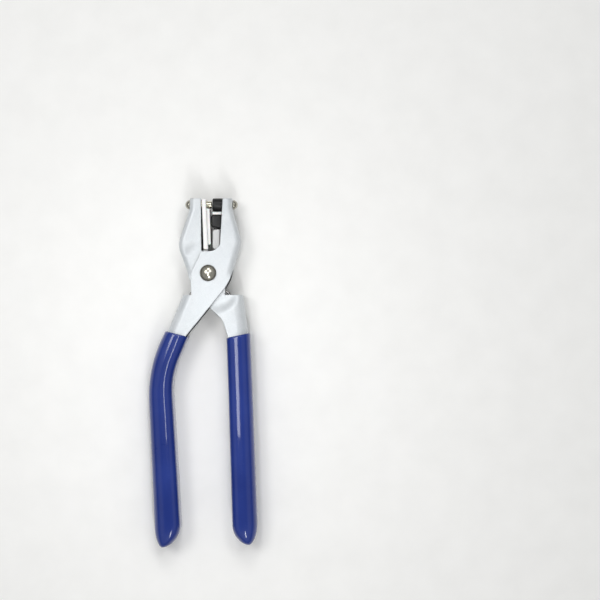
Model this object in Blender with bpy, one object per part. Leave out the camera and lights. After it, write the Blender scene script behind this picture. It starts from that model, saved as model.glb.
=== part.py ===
"""Snap and grommet setting pliers: two crossed channel levers on a rivet, a torsion return
spring, dipped handle sleeves, a riveted die in each jaw, and a hinged stripper platform.

Lengths are written in millimetres and turned into metres when a mesh is made.
+Y runs from the pivot to the jaw tips, +X to the right-hand jaw, +Z up out of the surface that
the tool lies on. The origin is the middle of the pivot rivet's flat tail.
"""
import math

import bmesh
import bpy
import numpy as np

for leftover in list(bpy.data.objects):
    bpy.data.objects.remove(leftover, do_unlink=True)

MM = 0.001
GAP = 0.3                     # clearance left between pieces that touch

# Levers: stamped channels of one sheet thickness
SHEET = 1.8
LEVER_WIDTH = 16.0            # over the two cheeks, along Z
JAW_BEND = 3.0                # outside radius where a jaw's web turns into its cheeks
HANDLE_BEND = 5.6             # the same on the handles
JAW_TIP_Y = 40.9
THROAT_Y = 12.1               # the cheeks' edge at the bottom of the mouth
JAW_WEB_END_Y = 2.0           # the jaws' webs stop here, so that the levers can cross
JAW_BEND_FADE = 9.0           # length over which the jaws' bend grows from almost nothing
LEAST_BEND = 0.5
SHOULDER_Y = -12.0            # the handles' webs start here
BOSS_RADIUS = 9.5             # the cheeks' round edge about the pivot
RIGHT_SEAT_X = 13.0           # outer face of the right jaw's flat die seat
LEFT_SEAT_X = -10.2           # outer face of the left jaw's flat die seat
LEFT_EDGE_X = -3.9            # open edge of the left jaw's cheeks
JOGGLE_CENTRE_Y = -2.0        # the inner lever's cheeks are pressed closer inside this circle
JOGGLE_RADIUS = 19.0

# Sleeves
SLEEVE_END_Y = -141.0         # their rounded tips start here
LEFT_TIP_LENGTH = 9.8
RIGHT_TIP_LENGTH = 8.4
SLEEVE_PAST_HANDLE = 4.0      # how far the sleeves run on below the handles' ends
SLEEVE_FACE = 1.7             # wall over the cheeks
SLEEVE_SIDE = 0.9             # wall along the handles' edges

# Pivot
SHANK_RADIUS = 3.0
PIVOT_HEAD_RADIUS = 4.5
PIVOT_HEAD_HEIGHT = 2.3
TAIL_RADIUS = 4.4
TAIL_HEIGHT = 0.9
WASHER_RADIUS = 5.6
WASHER_HEIGHT = 0.5
SPACER_WALL = 0.5

# Return spring
WIRE = 1.4
COIL_TURNS = 3.0

# Dies, one riveted into each jaw
DIE_SETBACK = 3.1             # from a jaw's tip down to the dies' axis
DIE_HEAD_RADIUS = 2.6
DIE_HEAD_HEIGHT = 2.6
DIE_SHANK_RADIUS = 1.35
DIE_BASE_RADIUS = 3.4
DIE_BASE_LENGTH = 2.7
POST_RADIUS = 2.0
POST_TIP_X = 1.6
NOSE_LENGTH = 2.6
ADAPTER_RADIUS = 3.6
ADAPTER_FACE_X = 2.0
ADAPTER_CUP = 1.0

# Adapter strap, its band and the clip that holds it
STRAP_LEFT_X = 1.5
STRAP_RIGHT_X = 7.4
STRAP_LENGTH = 7.0
STRAP_HALF_DEPTH = 4.6
NECK_HALF_DEPTH = 1.5
BAND_HEIGHT = 1.4
CLIP_LEFT_X = 2.3
CLIP_RIGHT_X = 6.9
CLIP_SHEET = 1.0
CLIP_HALF_DEPTH = 4.3
CLIP_FOOT_Y = 19.5            # middle of the foot that reaches the jaw's web
CLIP_FOOT_HEIGHT = 3.0

# Stripper platform on the left jaw
PLATFORM_PIN = (-2.5, 9.8)
PIN_RADIUS = 1.2
EYE_RADIUS = 2.7
PLATFORM_THICK = 2.2
PLATFORM_TIP_SETBACK = 0.6    # from the jaw's tip down to the platform's
PAD_HALF_DEPTH = 6.0
PAD_FACE_X = 1.0              # face of the raised pad, halfway up
LEAF_SHEET = 0.5
LEAF_HALF_WIDTH = 2.4

# Places that follow from the above
HANDLE_END_Y = SLEEVE_END_Y + SLEEVE_PAST_HANDLE
DIE_Y = JAW_TIP_Y - DIE_SETBACK
STRAP_TOP_Y = DIE_Y - ADAPTER_RADIUS - GAP - BAND_HEIGHT - 2 * GAP
STRAP_LOW_Y = STRAP_TOP_Y - STRAP_LENGTH
CLIP_TOP_Y = STRAP_LOW_Y - GAP - 0.4
CLIP_LOW_Y = THROAT_Y + 1.2
PLATFORM_LOW_Y = THROAT_Y + 1.0
PLATFORM_TIP_Y = JAW_TIP_Y - PLATFORM_TIP_SETBACK
FORK_Y = DIE_Y - POST_RADIUS - GAP
HALF = LEVER_WIDTH / 2
MID = TAIL_HEIGHT + GAP + WASHER_HEIGHT + GAP + HALF
HOLLOW = HALF - SHEET                       # half the space between the outer cheeks
JOGGLE_HALF = HOLLOW - GAP - 0.1            # outside of the inner lever's pressed cheeks
JOGGLE_HOLLOW = JOGGLE_HALF - SHEET
COIL_RADIUS = SHANK_RADIUS + GAP + SPACER_WALL + GAP + WIRE / 2
COIL_HEIGHT = 2 * (JOGGLE_HOLLOW - GAP) - WIRE      # between the first and last turns' middles
BORE_DEPTH = DIE_BASE_LENGTH - 0.4          # blind bore in a die for its rivet's shank
FAR = 90.0                                  # past everything, for the open side of a cut
CUT_PAST = 1.5                              # how far a cut runs past a face that it opens


# ---------------------------------------------------------------- outlines

def unit(vector):
    return vector / np.linalg.norm(vector)


def rounded(corners, steps=6, closed=True):
    """Points of a corner list (x, y, radius), each corner turned into an arc of that radius."""
    points = []
    count = len(corners)
    for index, (x, y, radius) in enumerate(corners):
        here = np.array((x, y))
        is_end = not closed and index in (0, count - 1)
        if radius <= 0 or is_end:
            points.append(here)
            continue
        back = unit(np.array(corners[index - 1][:2]) - here)
        ahead = unit(np.array(corners[(index + 1) % count][:2]) - here)
        half_angle = math.acos(np.clip(back @ ahead, -1, 1)) / 2
        reach = radius / math.tan(half_angle)
        centre = here + unit(back + ahead) * radius / math.sin(half_angle)
        start = here + back * reach - centre
        sweep = math.pi - 2 * half_angle
        turn = math.copysign(1, back[1] * ahead[0] - back[0] * ahead[1])
        for step in range(steps + 1):
            angle = turn * sweep * step / steps
            cosine, sine = math.cos(angle), math.sin(angle)
            points.append(centre + (start[0] * cosine - start[1] * sine,
                                    start[0] * sine + start[1] * cosine))
    return np.array(points)


def shifted(corners, distance):
    """An open corner list moved sideways: to the left of its direction where distance > 0."""
    places = np.array([corner[:2] for corner in corners])
    along = np.diff(places, axis=0)
    along /= np.linalg.norm(along, axis=1)[:, None]
    left = np.stack((-along[:, 1], along[:, 0]), axis=1)
    moved = []
    for index, (x, y, radius) in enumerate(corners):
        before = left[max(index - 1, 0)]
        after = left[min(index, len(left) - 1)]
        mitre = (before + after) / (1 + before @ after)
        turning = before[0] * after[1] - before[1] * after[0]
        new_radius = radius - math.copysign(distance, turning) * np.sign(distance) if radius else 0
        spot = np.array((x, y)) + mitre * distance
        moved.append((spot[0], spot[1], max(new_radius, 0.3) if radius else 0))
    return moved


def longer(corners, at_start, at_end):
    """An open corner list with its first and last stretches made longer, in their own direction."""
    places = np.array([corner[:2] for corner in corners])
    first = places[0] + unit(places[0] - places[1]) * at_start
    last = places[-1] + unit(places[-1] - places[-2]) * at_end
    return [(first[0], first[1], 0)] + corners[1:-1] + [(last[0], last[1], 0)]


def x_on(corners, y):
    """X of the straight lines through the corners, at a given Y."""
    order = sorted(corners, key=lambda corner: corner[1])
    return float(np.interp(y, [c[1] for c in order], [c[0] for c in order]))


def cut_at(corners, y_from, y_to):
    """The part of a corner list between two heights, from y_from to y_to."""
    low, high = min(y_from, y_to), max(y_from, y_to)
    kept = [corner for corner in corners if low + 0.5 < corner[1] < high - 0.5]
    kept.sort(key=lambda corner: corner[1], reverse=bool(y_from > y_to))
    return [(x_on(corners, y_from), y_from, 0)] + kept + [(x_on(corners, y_to), y_to, 0)]


# ---------------------------------------------------------------- meshes and objects

def material(name, colour, roughness, metallic):
    made = bpy.data.materials.new(name)
    made.use_nodes = True
    shader = made.node_tree.nodes["Principled BSDF"]
    shader.inputs["Base Color"].default_value = (*colour, 1.0)
    shader.inputs["Roughness"].default_value = roughness
    shader.inputs["Metallic"].default_value = metallic
    return made


def add_mesh(name, points, faces, finish=None, parent=None, smooth=False):
    """A mesh object from points in millimetres in the tool's own frame."""
    mesh = bpy.data.meshes.new(name)
    origin = parent.matrix_world.translation if parent else np.zeros(3)
    places = np.asarray(points, dtype=float) * MM - np.array(origin)
    mesh.from_pydata(places.tolist(), [], faces)
    shape = bmesh.new()
    shape.from_mesh(mesh)
    bmesh.ops.triangulate(shape, faces=shape.faces)
    bmesh.ops.recalc_face_normals(shape, faces=shape.faces)
    shape.to_mesh(mesh)
    shape.free()
    if smooth:
        mesh.shade_smooth()
        mesh.set_sharp_from_angle(angle=math.radians(35))
    made = bpy.data.objects.new(name, mesh)
    bpy.context.scene.collection.objects.link(made)
    if finish:
        mesh.materials.append(finish)
    if parent:
        made.parent = parent
    return made


def add_axis(name, place, parent=None):
    """An empty on a joint's axis, which the moving pieces hang from."""
    made = bpy.data.objects.new(name, None)
    bpy.context.scene.collection.objects.link(made)
    made.location = [value * MM for value in place]
    if parent:
        made.parent = parent
        made.location = [value * MM - start for value, start in zip(place, parent.location)]
    bpy.context.view_layer.update()
    return made


def stack(rings):
    """Closed body through rings of equal point counts, with a flat face on each end."""
    size = len(rings[0])
    points = np.concatenate(rings)
    faces = [list(range(size)), list(range(len(points) - size, len(points)))]
    for level in range(len(rings) - 1):
        for index in range(size):
            after = (index + 1) % size
            low, high = level * size, (level + 1) * size
            faces.append([low + index, low + after, high + after, high + index])
    return points, faces


def at_height(outline, z):
    return np.column_stack((outline, np.full(len(outline), z)))


def prism(outline, low, high):
    return stack([at_height(outline, low), at_height(outline, high)])


def box(low, high):
    outline = np.array([(low[0], low[1]), (high[0], low[1]), (high[0], high[1]), (low[0], high[1])])
    return prism(outline, low[2], high[2])


def turned(profile, centre, axis, steps=24):
    """Body turned from (distance along the axis, radius) pairs; radius 0 at both ends closes it."""
    along = np.array(axis, dtype=float)
    side = np.array((0.0, 1.0, 0.0)) if abs(along[1]) < 0.5 else np.array((1.0, 0.0, 0.0))
    other = np.cross(along, side)
    angles = 2 * math.pi * np.arange(steps) / steps
    circle = np.cos(angles)[:, None] * side + np.sin(angles)[:, None] * other
    points, rings, faces = [], [], []
    for distance, radius in profile:
        if radius == 0:
            rings.append([len(points)])
            points.append(np.array(centre) + along * distance)
        else:
            rings.append(list(range(len(points), len(points) + steps)))
            points.extend(np.array(centre) + along * distance + circle * radius)
    loop = profile[0][1] > 0
    pairs = list(zip(rings, rings[1:] + rings[:1])) if loop else list(zip(rings, rings[1:]))
    for first, second in pairs:
        for index in range(steps):
            after = (index + 1) % steps
            quad = [first[index % len(first)], first[after % len(first)],
                    second[after % len(second)], second[index % len(second)]]
            faces.append(list(dict.fromkeys(quad)))
    return points, faces


def dome(start, height, radius, steps=5, edge=0.35):
    """Profile of a rivet head: a short straight edge, then a spherical cap to the axis."""
    cap = height - edge
    ball = (radius ** 2 + cap ** 2) / (2 * cap)
    widest = math.asin(radius / ball)
    profile = [(start, radius)]
    for step in range(steps):
        angle = widest * (1 - step / steps)
        profile.append((start + edge + ball * math.cos(angle) - (ball - cap), ball * math.sin(angle)))
    return profile + [(start + height, 0)]


def cutter(name, points, faces):
    made = add_mesh(name, points, faces)
    made.hide_render = True
    made.display_type = "WIRE"
    return made


def combine(target, tool, operation="DIFFERENCE"):
    modifier = target.modifiers.new(tool.name, "BOOLEAN")
    modifier.operation = operation
    modifier.object = tool
    modifier.solver = "EXACT"


# ---------------------------------------------------------------- finishes

PAINT = material("silver_paint", (0.62, 0.66, 0.70), 0.38, 0.55)
NICKEL = material("bright_nickel", (0.80, 0.80, 0.78), 0.12, 1.0)
STEEL = material("plain_steel", (0.42, 0.43, 0.44), 0.35, 1.0)
SPRING_STEEL = material("spring_steel", (0.22, 0.22, 0.23), 0.35, 1.0)
VINYL = material("blue_vinyl", (0.015, 0.045, 0.26), 0.22, 0.0)
RUBBER = material("black_rubber", (0.018, 0.018, 0.02), 0.55, 0.0)
NYLON = material("white_nylon", (0.85, 0.86, 0.86), 0.35, 0.0)
BRASS = material("brass_post", (0.62, 0.56, 0.36), 0.25, 1.0)


# ---------------------------------------------------------------- outlines of the levers
# Each path runs downwards, from jaw to handle. The sleeves' paths come first, because a handle
# is its sleeve's path drawn in by the wall.

LEFT_SLEEVE_OUTER = [(-23.8, -32.1, 0), (-30.4, -45.5, 70), (-33.2, -64.0, 70),
                     (-29.7, SLEEVE_END_Y, 0)]
LEFT_SLEEVE_INNER = [(-11.3, -35.3, 0), (-20.2, -57.0, 45), (-15.2, SLEEVE_END_Y, 0)]
RIGHT_SLEEVE_OUTER = [(22.9, -33.2, 0), (24.2, -65.0, 200), (27.0, SLEEVE_END_Y, 0)]
RIGHT_SLEEVE_INNER = [(9.9, -36.1, 0), (10.9, -65.0, 200), (13.2, SLEEVE_END_Y, 0)]
LEFT_TIP = (-25.4, SLEEVE_END_Y - LEFT_TIP_LENGTH)
RIGHT_TIP = (22.2, SLEEVE_END_Y - RIGHT_TIP_LENGTH)

DRAWN_IN = SLEEVE_SIDE + GAP
left_handle_outer = shifted(LEFT_SLEEVE_OUTER, DRAWN_IN)
left_handle_inner = shifted(LEFT_SLEEVE_INNER, -DRAWN_IN)
right_handle_outer = shifted(RIGHT_SLEEVE_OUTER, -DRAWN_IN)
right_handle_inner = shifted(RIGHT_SLEEVE_INNER, DRAWN_IN)

left_web = [(-14.1, SHOULDER_Y, 0)] + [(x, y, r or 60) for x, y, r in left_handle_outer[:-1]]
left_web += [(x_on(left_handle_outer, HANDLE_END_Y), HANDLE_END_Y, 0)]
right_web = [(19.0, SHOULDER_Y, 0)] + [(x, y, r or 60) for x, y, r in right_handle_outer[:-1]]
right_web += [(x_on(right_handle_outer, HANDLE_END_Y), HANDLE_END_Y, 0)]

seat_low_y = DIE_Y - DIE_HEAD_RADIUS
right_jaw_web = [(RIGHT_SEAT_X, JAW_TIP_Y, 0), (RIGHT_SEAT_X, seat_low_y, 12), (18.1, 17.5, 11),
                 (13.6, JAW_WEB_END_Y, 0)]
left_jaw_web = [(LEFT_SEAT_X, JAW_TIP_Y, 0), (LEFT_SEAT_X, seat_low_y, 9), (-16.9, 15.5, 12),
                (-12.2, JAW_WEB_END_Y, 0)]

outer_open_handle = cut_at(left_handle_inner, HANDLE_END_Y, left_handle_inner[0][1])
inner_open_handle = cut_at(right_handle_inner, HANDLE_END_Y, right_handle_inner[0][1])


def lever_outline(web_jaw, web_handle, open_handle, throat, crossing):
    """Closed outline and, for each point, whether it belongs to a web.

    It goes down the jaw's web, past the crossing edge, down the handle's open edge, back up the
    handle's web, round the boss and through the throat to the jaw's open edge.
    """
    groups = [(web_jaw, True), (crossing, False), (open_handle[::-1], False),
              (web_handle[::-1], True), (throat, False)]
    corners, webs = [], []
    for group, is_web in groups:
        corners += group
        webs += [is_web] * len(group)
    points, flags = [], []
    count = len(corners)
    for index in range(count):
        trio = [corners[index - 1], corners[index], corners[(index + 1) % count]]
        piece = rounded(trio, closed=False)[1:-1]
        points.extend(piece)
        flags += [webs[index]] * len(piece)
    return np.array(points), np.array(flags)


def bent_body(outline, flags, half, bend, layers=5):
    """The outline drawn out along Z, its flagged edges rounded over to the faces by a bend radius.

    A layer at height h above the bend's centre moves in by r - sqrt(r^2 - h^2).
    """
    edges = np.roll(outline, -1, axis=0) - outline
    area = np.sum(outline[:, 0] * np.roll(outline[:, 1], -1) - np.roll(outline[:, 0], -1) * outline[:, 1])
    inward = np.stack((-edges[:, 1], edges[:, 0]), axis=1) * np.sign(area)
    inward /= np.linalg.norm(inward, axis=1)[:, None]
    web_edge = flags & np.roll(flags, -1)
    before = np.where(np.roll(web_edge, 1)[:, None], np.roll(inward, 1, axis=0), 0)
    after = np.where(web_edge[:, None], inward, 0)
    both = np.where(np.roll(web_edge, 1) & web_edge, 1 + np.sum(before * after, axis=1), 1.0)
    move = (before + after) / both[:, None]
    fade = np.clip((outline[:, 1] - JAW_WEB_END_Y) / JAW_BEND_FADE, 0.12, 1)
    radius = np.maximum(np.where(outline[:, 1] > 0, bend[0] * fade, bend[1]), LEAST_BEND)
    rings = []
    for step in range(-layers, layers + 1):
        if step == 0:
            continue
        angle = (abs(step) - 1) / (layers - 1) * math.pi / 2
        inset = radius * (1 - math.cos(angle))
        height = (half - radius + radius * math.sin(angle)) * math.copysign(1, step)
        ring = outline + move * inset[:, None]
        rings.append(np.column_stack((ring, MID + height)))
    return stack(rings)


def flatten_ends(points):
    """Sets the first and last layers of a bent body exactly level."""
    top = points[:, 2].max()
    low = points[:, 2].min()
    points[np.abs(points[:, 2] - top) < 0.01, 2] = top
    points[np.abs(points[:, 2] - low) < 0.01, 2] = low
    return points


# ---------------------------------------------------------------- levers

def cavity(web_jaw, web_handle, side):
    """Outline of the space inside a lever: one sheet in from each web, past every open edge.

    side is +1 for the lever whose jaw is on the right and -1 for the other.
    """
    jaw = longer(shifted(web_jaw, -SHEET * side), FAR, 0)
    handle = longer(shifted(web_handle, SHEET * side), CUT_PAST, FAR)
    crossing = [(side * FAR, jaw[-1][1], 0), (side * FAR, handle[-1][1], 0)]
    far_side = [(-side * FAR, handle[0][1], 0), (-side * FAR, jaw[0][1], 0)]
    corners = jaw + crossing + handle[::-1] + far_side
    webs = [True] * len(jaw) + [False] * 2 + [True] * len(handle) + [False] * 2
    points, flags = [], []
    count = len(corners)
    for index in range(count):
        trio = [corners[index - 1], corners[index], corners[(index + 1) % count]]
        piece = rounded(trio, closed=False)[1:-1]
        points.extend(piece)
        flags += [webs[index]] * len(piece)
    return np.array(points), np.array(flags)


def lever(name, web_jaw, web_handle, open_handle, throat, crossing, side, parent=None):
    outline, flags = lever_outline(web_jaw, web_handle, open_handle, throat, crossing)
    points, faces = bent_body(outline, flags, HALF, (JAW_BEND, HANDLE_BEND))
    body = add_mesh(name, flatten_ends(points), faces, PAINT, parent, smooth=True)
    inside, inside_flags = cavity(web_jaw, web_handle, side)
    points, faces = bent_body(inside, inside_flags, HOLLOW, (JAW_BEND - SHEET, HANDLE_BEND - SHEET))
    hollow = cutter(name + "_hollow", flatten_ends(points), faces)
    return body, hollow


outer_throat = [(-9.3, SHOULDER_Y, 0.6), (-BOSS_RADIUS, 0.2, 7.0), (-6.0, 7.2, 9.0),
                (-4.0, THROAT_Y - 0.4, 1.0), (3.0, THROAT_Y, 5.0), (6.5, THROAT_Y + 3.1, 3.0),
                (7.9, JAW_TIP_Y, 0)]
outer_crossing = [(11.6, -5.2, 26.0)]
outer_lever, outer_hollow = lever("outer_lever", right_jaw_web, left_web, outer_open_handle,
                                  outer_throat, outer_crossing, 1)

pivot_axis = add_axis("pivot_axis", (0, 0, 0))

inner_throat = [(9.2, SHOULDER_Y, 0.6), (BOSS_RADIUS, 1.0, 7.0), (5.5, 9.5, 7.0),
                (0.6, THROAT_Y, 3.0), (LEFT_EDGE_X + 0.1, THROAT_Y, 0.8), (LEFT_EDGE_X, JAW_TIP_Y, 0)]
inner_crossing = [(-8.2, -9.8, 8.0), (1.6, -19.8, 12.0), (7.6, -25.2, 9.0)]
inner_lever, inner_hollow = lever("inner_lever", left_jaw_web, right_web, inner_open_handle,
                                  inner_throat, inner_crossing, -1, pivot_axis)


def joggle(name, depth, floor, radius, upwards):
    """A dished cut: a cone's frustum that opens at 45 degrees from the pressed cheek's face."""
    profile = [(floor, 0), (floor, radius - (depth - floor)), (depth + 3, radius + 3), (depth + 3, 0)]
    centre = (0, JOGGLE_CENTRE_Y, MID)
    return cutter(name, *turned(profile, centre, (0, 0, 1 if upwards else -1), steps=48))


# A sheet bent through 45 degrees keeps its thickness where its two faces' bends lie
# thickness * (sqrt(2) - 1) apart along the sheet.
inside_shift = SHEET * (math.sqrt(2) - 1)
for tag, upwards in (("front", True), ("back", False)):
    combine(inner_lever, joggle("dish_" + tag, HALF, JOGGLE_HALF, JOGGLE_RADIUS, upwards))
    combine(inner_hollow, joggle("inner_dish_" + tag, HOLLOW, JOGGLE_HOLLOW,
                                 JOGGLE_RADIUS + inside_shift, upwards))
combine(outer_lever, outer_hollow)
combine(inner_lever, inner_hollow)

pivot_hole = cutter("pivot_hole", *turned([(-HALF - 5, 0), (-HALF - 5, SHANK_RADIUS + GAP),
                                           (HALF + 5, SHANK_RADIUS + GAP), (HALF + 5, 0)],
                                          (0, 0, MID), (0, 0, 1)))
combine(outer_lever, pivot_hole)
combine(inner_lever, pivot_hole)


def die_hole(name, x):
    profile = [(-4, 0), (-4, DIE_SHANK_RADIUS + GAP), (4, DIE_SHANK_RADIUS + GAP), (4, 0)]
    return cutter(name, *turned(profile, (x, DIE_Y, MID), (1, 0, 0)))


combine(outer_lever, die_hole("right_die_hole", RIGHT_SEAT_X))
combine(inner_lever, die_hole("left_die_hole", LEFT_SEAT_X))

pin_hole = cutter("pin_hole", *turned([(-HALF, 0), (-HALF, PIN_RADIUS + GAP),
                                       (HALF, PIN_RADIUS + GAP), (HALF, 0)],
                                      (*PLATFORM_PIN, MID), (0, 0, 1)))
combine(inner_lever, pin_hole)


# ---------------------------------------------------------------- pivot

head_start = MID + HALF + GAP
pivot_profile = [(0, 0), (0, TAIL_RADIUS - 0.3), (0.3, TAIL_RADIUS), (TAIL_HEIGHT, TAIL_RADIUS),
                 (TAIL_HEIGHT, SHANK_RADIUS), (head_start, SHANK_RADIUS)]
pivot_profile += dome(head_start, PIVOT_HEAD_HEIGHT, PIVOT_HEAD_RADIUS)
add_mesh("pivot_rivet", *turned(pivot_profile, (0, 0, 0), (0, 0, 1), steps=32), NICKEL, smooth=True)

washer_low = TAIL_HEIGHT + GAP
washer_high = washer_low + WASHER_HEIGHT
washer_profile = [(washer_low, SHANK_RADIUS + GAP), (washer_low, WASHER_RADIUS),
                  (washer_high, WASHER_RADIUS), (washer_high, SHANK_RADIUS + GAP)]
add_mesh("pivot_washer", *turned(washer_profile, (0, 0, 0), (0, 0, 1), steps=32), STEEL, smooth=True)

spacer_half = JOGGLE_HOLLOW - GAP
spacer_outside = SHANK_RADIUS + GAP + SPACER_WALL
spacer_profile = [(-spacer_half, SHANK_RADIUS + GAP), (-spacer_half, spacer_outside),
                  (spacer_half, spacer_outside), (spacer_half, SHANK_RADIUS + GAP)]
add_mesh("pivot_spacer", *turned(spacer_profile, (0, 0, MID), (0, 0, 1)), STEEL, smooth=True)


# ---------------------------------------------------------------- return spring

def tangent_start(point, radius, side):
    """Angle at which a line from a point touches a circle about the pivot."""
    distance = math.hypot(*point)
    return math.atan2(point[1], point[0]) + side * math.acos(radius / distance)


def leg_points(end, knee, height):
    return [(*knee, height), (*end, height)]


LEFT_KNEE = (-9.9, -10.6)
LEFT_END = (-14.3, -20.5)
RIGHT_KNEE = (10.8, -10.6)
RIGHT_END = (16.3, -20.5)
low_z = MID - COIL_HEIGHT / 2
high_z = MID + COIL_HEIGHT / 2
coil_from = tangent_start(LEFT_KNEE, COIL_RADIUS, 1)
coil_to = tangent_start(RIGHT_KNEE, COIL_RADIUS, -1)
whole_turns = math.floor(COIL_TURNS)
sweep_angle = (coil_to - coil_from) % (2 * math.pi) + 2 * math.pi * (whole_turns - 1)
spring_line = leg_points(LEFT_END, LEFT_KNEE, low_z)[::-1]
coil_steps = 18 * COIL_TURNS
for step in range(int(coil_steps) + 1):
    part = step / int(coil_steps)
    angle = coil_from + sweep_angle * part
    spring_line.append((COIL_RADIUS * math.cos(angle), COIL_RADIUS * math.sin(angle),
                        low_z + (high_z - low_z) * part))
spring_line += leg_points(RIGHT_END, RIGHT_KNEE, high_z)

spring_curve = bpy.data.curves.new("return_spring", "CURVE")
spring_curve.dimensions = "3D"
spring_curve.bevel_depth = WIRE / 2 * MM
spring_curve.bevel_resolution = 2
spring_curve.use_fill_caps = True
spline = spring_curve.splines.new("POLY")
spline.points.add(len(spring_line) - 1)
for slot, place in zip(spline.points, spring_line):
    slot.co = (*[value * MM for value in place], 1.0)
spring_curve.materials.append(SPRING_STEEL)
return_spring = bpy.data.objects.new("return_spring", spring_curve)
bpy.context.scene.collection.objects.link(return_spring)


# ---------------------------------------------------------------- sleeves

def section(outer, inner, half, outer_radius, inner_radius, steps=4):
    """Rounded rectangle between an inner and an outer point, standing along Z."""
    across = outer - inner
    width = np.linalg.norm(across)
    direction = across / width
    radius_out = min(outer_radius, 0.49 * width, 0.98 * half)
    radius_in = min(inner_radius, 0.49 * width, 0.98 * half)
    ring = []
    for start, u, v, radius in ((0, width - radius_out, half - radius_out, radius_out),
                                (90, radius_in, half - radius_in, radius_in),
                                (180, radius_in, radius_in - half, radius_in),
                                (270, width - radius_out, radius_out - half, radius_out)):
        for step in range(steps + 1):
            angle = math.radians(start + 90 * step / steps)
            spot = inner + direction * (u + radius * math.cos(angle))
            ring.append((spot[0], spot[1], MID + v + radius * math.sin(angle)))
    return np.array(ring)


def along_path(corners, share):
    """Point on a rounded path at a share of its height, 0 at its top and 1 at its end."""
    line = rounded(corners, steps=8, closed=False)
    y = corners[0][1] + (corners[-1][1] - corners[0][1]) * share
    return np.array((np.interp(-y, -line[:, 1], line[:, 0]), y))


def sleeve_shares(end):
    """Where a sleeve's sections stand: close together round the bend, further apart below it."""
    return np.concatenate((np.linspace(0, 0.42, 10), np.linspace(0.42, end, 5)[1:]))


def sleeve(name, outer_path, inner_path, tip, parent=None):
    """Dipped sleeve: an outer skin with a rounded tip, a blind hollow for the handle, and a rim."""
    half = HALF + GAP + SLEEVE_FACE
    tip_steps = 7
    outside = []
    for share in sleeve_shares(0.97):
        outside.append(section(along_path(outer_path, share), along_path(inner_path, share),
                               half, 7.0, 4.5))
    last_outer = along_path(outer_path, 0.97)
    last_inner = along_path(inner_path, 0.97)
    for step in range(1, tip_steps + 1):
        turn = math.pi / 2 * step / tip_steps * 0.97
        fall = math.sin(turn)
        spread = math.cos(turn) ** 1.1
        y_out = last_outer[1] + (tip[1] - last_outer[1]) * fall
        y_in = last_inner[1] + (tip[1] - last_inner[1]) * fall
        outer = np.array((tip[0] + (last_outer[0] - tip[0]) * spread, y_out))
        inner = np.array((tip[0] + (last_inner[0] - tip[0]) * spread, y_in))
        depth = half * (0.42 + 0.58 * math.cos(turn) ** 0.8)
        outside.append(section(outer, inner, depth, 7.0, 4.5))
    inside = []
    end_share = (HANDLE_END_Y - 1.0 - outer_path[0][1]) / (outer_path[-1][1] - outer_path[0][1])
    for share in sleeve_shares(end_share):
        outer, inner = along_path(outer_path, share), along_path(inner_path, share)
        direction = unit(outer - inner)
        inside.append(section(outer - direction * SLEEVE_SIDE, inner + direction * SLEEVE_SIDE,
                              HALF + GAP, HANDLE_BEND, 0.4))
    points, faces = stack(inside[::-1] + outside)
    return add_mesh(name, points, faces, VINYL, parent, smooth=True)


sleeve("left_grip", LEFT_SLEEVE_OUTER, LEFT_SLEEVE_INNER, LEFT_TIP)
sleeve("right_grip", RIGHT_SLEEVE_OUTER, RIGHT_SLEEVE_INNER, RIGHT_TIP, pivot_axis)


# ---------------------------------------------------------------- dies and their rivets

def die_rivet(name, seat_x, outwards, die_face, parent=None):
    """Round rivet: head outside the jaw's web, shank through it and into the die's bore."""
    shank = abs(seat_x - die_face) + BORE_DEPTH - GAP
    profile = [(-shank, 0), (-shank, DIE_SHANK_RADIUS), (GAP, DIE_SHANK_RADIUS)]
    profile += dome(GAP, DIE_HEAD_HEIGHT, DIE_HEAD_RADIUS)
    shape = turned(profile, (seat_x, DIE_Y, MID), (outwards, 0, 0))
    return add_mesh(name, *shape, NICKEL, parent, smooth=True)


post_base = LEFT_SEAT_X + SHEET + GAP
post_profile = [(BORE_DEPTH, 0), (BORE_DEPTH, DIE_SHANK_RADIUS + GAP), (0, DIE_SHANK_RADIUS + GAP),
                (0, DIE_BASE_RADIUS), (DIE_BASE_LENGTH, DIE_BASE_RADIUS),
                (DIE_BASE_LENGTH + 0.5, POST_RADIUS), (POST_TIP_X - post_base - 0.4, POST_RADIUS),
                (POST_TIP_X - post_base, POST_RADIUS - 0.4), (POST_TIP_X - post_base, 0)]
add_mesh("post_die", *turned(post_profile, (post_base, DIE_Y, MID), (1, 0, 0)), BRASS, pivot_axis, True)
die_rivet("post_die_rivet", LEFT_SEAT_X, -1, post_base, pivot_axis)

anvil_base = RIGHT_SEAT_X - SHEET - GAP
anvil_profile = [(BORE_DEPTH, 0), (BORE_DEPTH, DIE_SHANK_RADIUS + GAP), (0, DIE_SHANK_RADIUS + GAP),
                 (0, DIE_BASE_RADIUS), (DIE_BASE_LENGTH, DIE_BASE_RADIUS),
                 (DIE_BASE_LENGTH, POST_RADIUS), (DIE_BASE_LENGTH + NOSE_LENGTH - 0.4, POST_RADIUS),
                 (DIE_BASE_LENGTH + NOSE_LENGTH, POST_RADIUS - 0.4), (DIE_BASE_LENGTH + NOSE_LENGTH, 0)]
add_mesh("anvil_die", *turned(anvil_profile, (anvil_base, DIE_Y, MID), (-1, 0, 0)), STEEL, smooth=True)
die_rivet("anvil_die_rivet", RIGHT_SEAT_X, 1, anvil_base)


# ---------------------------------------------------------------- adapter, band, strap and clip

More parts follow.
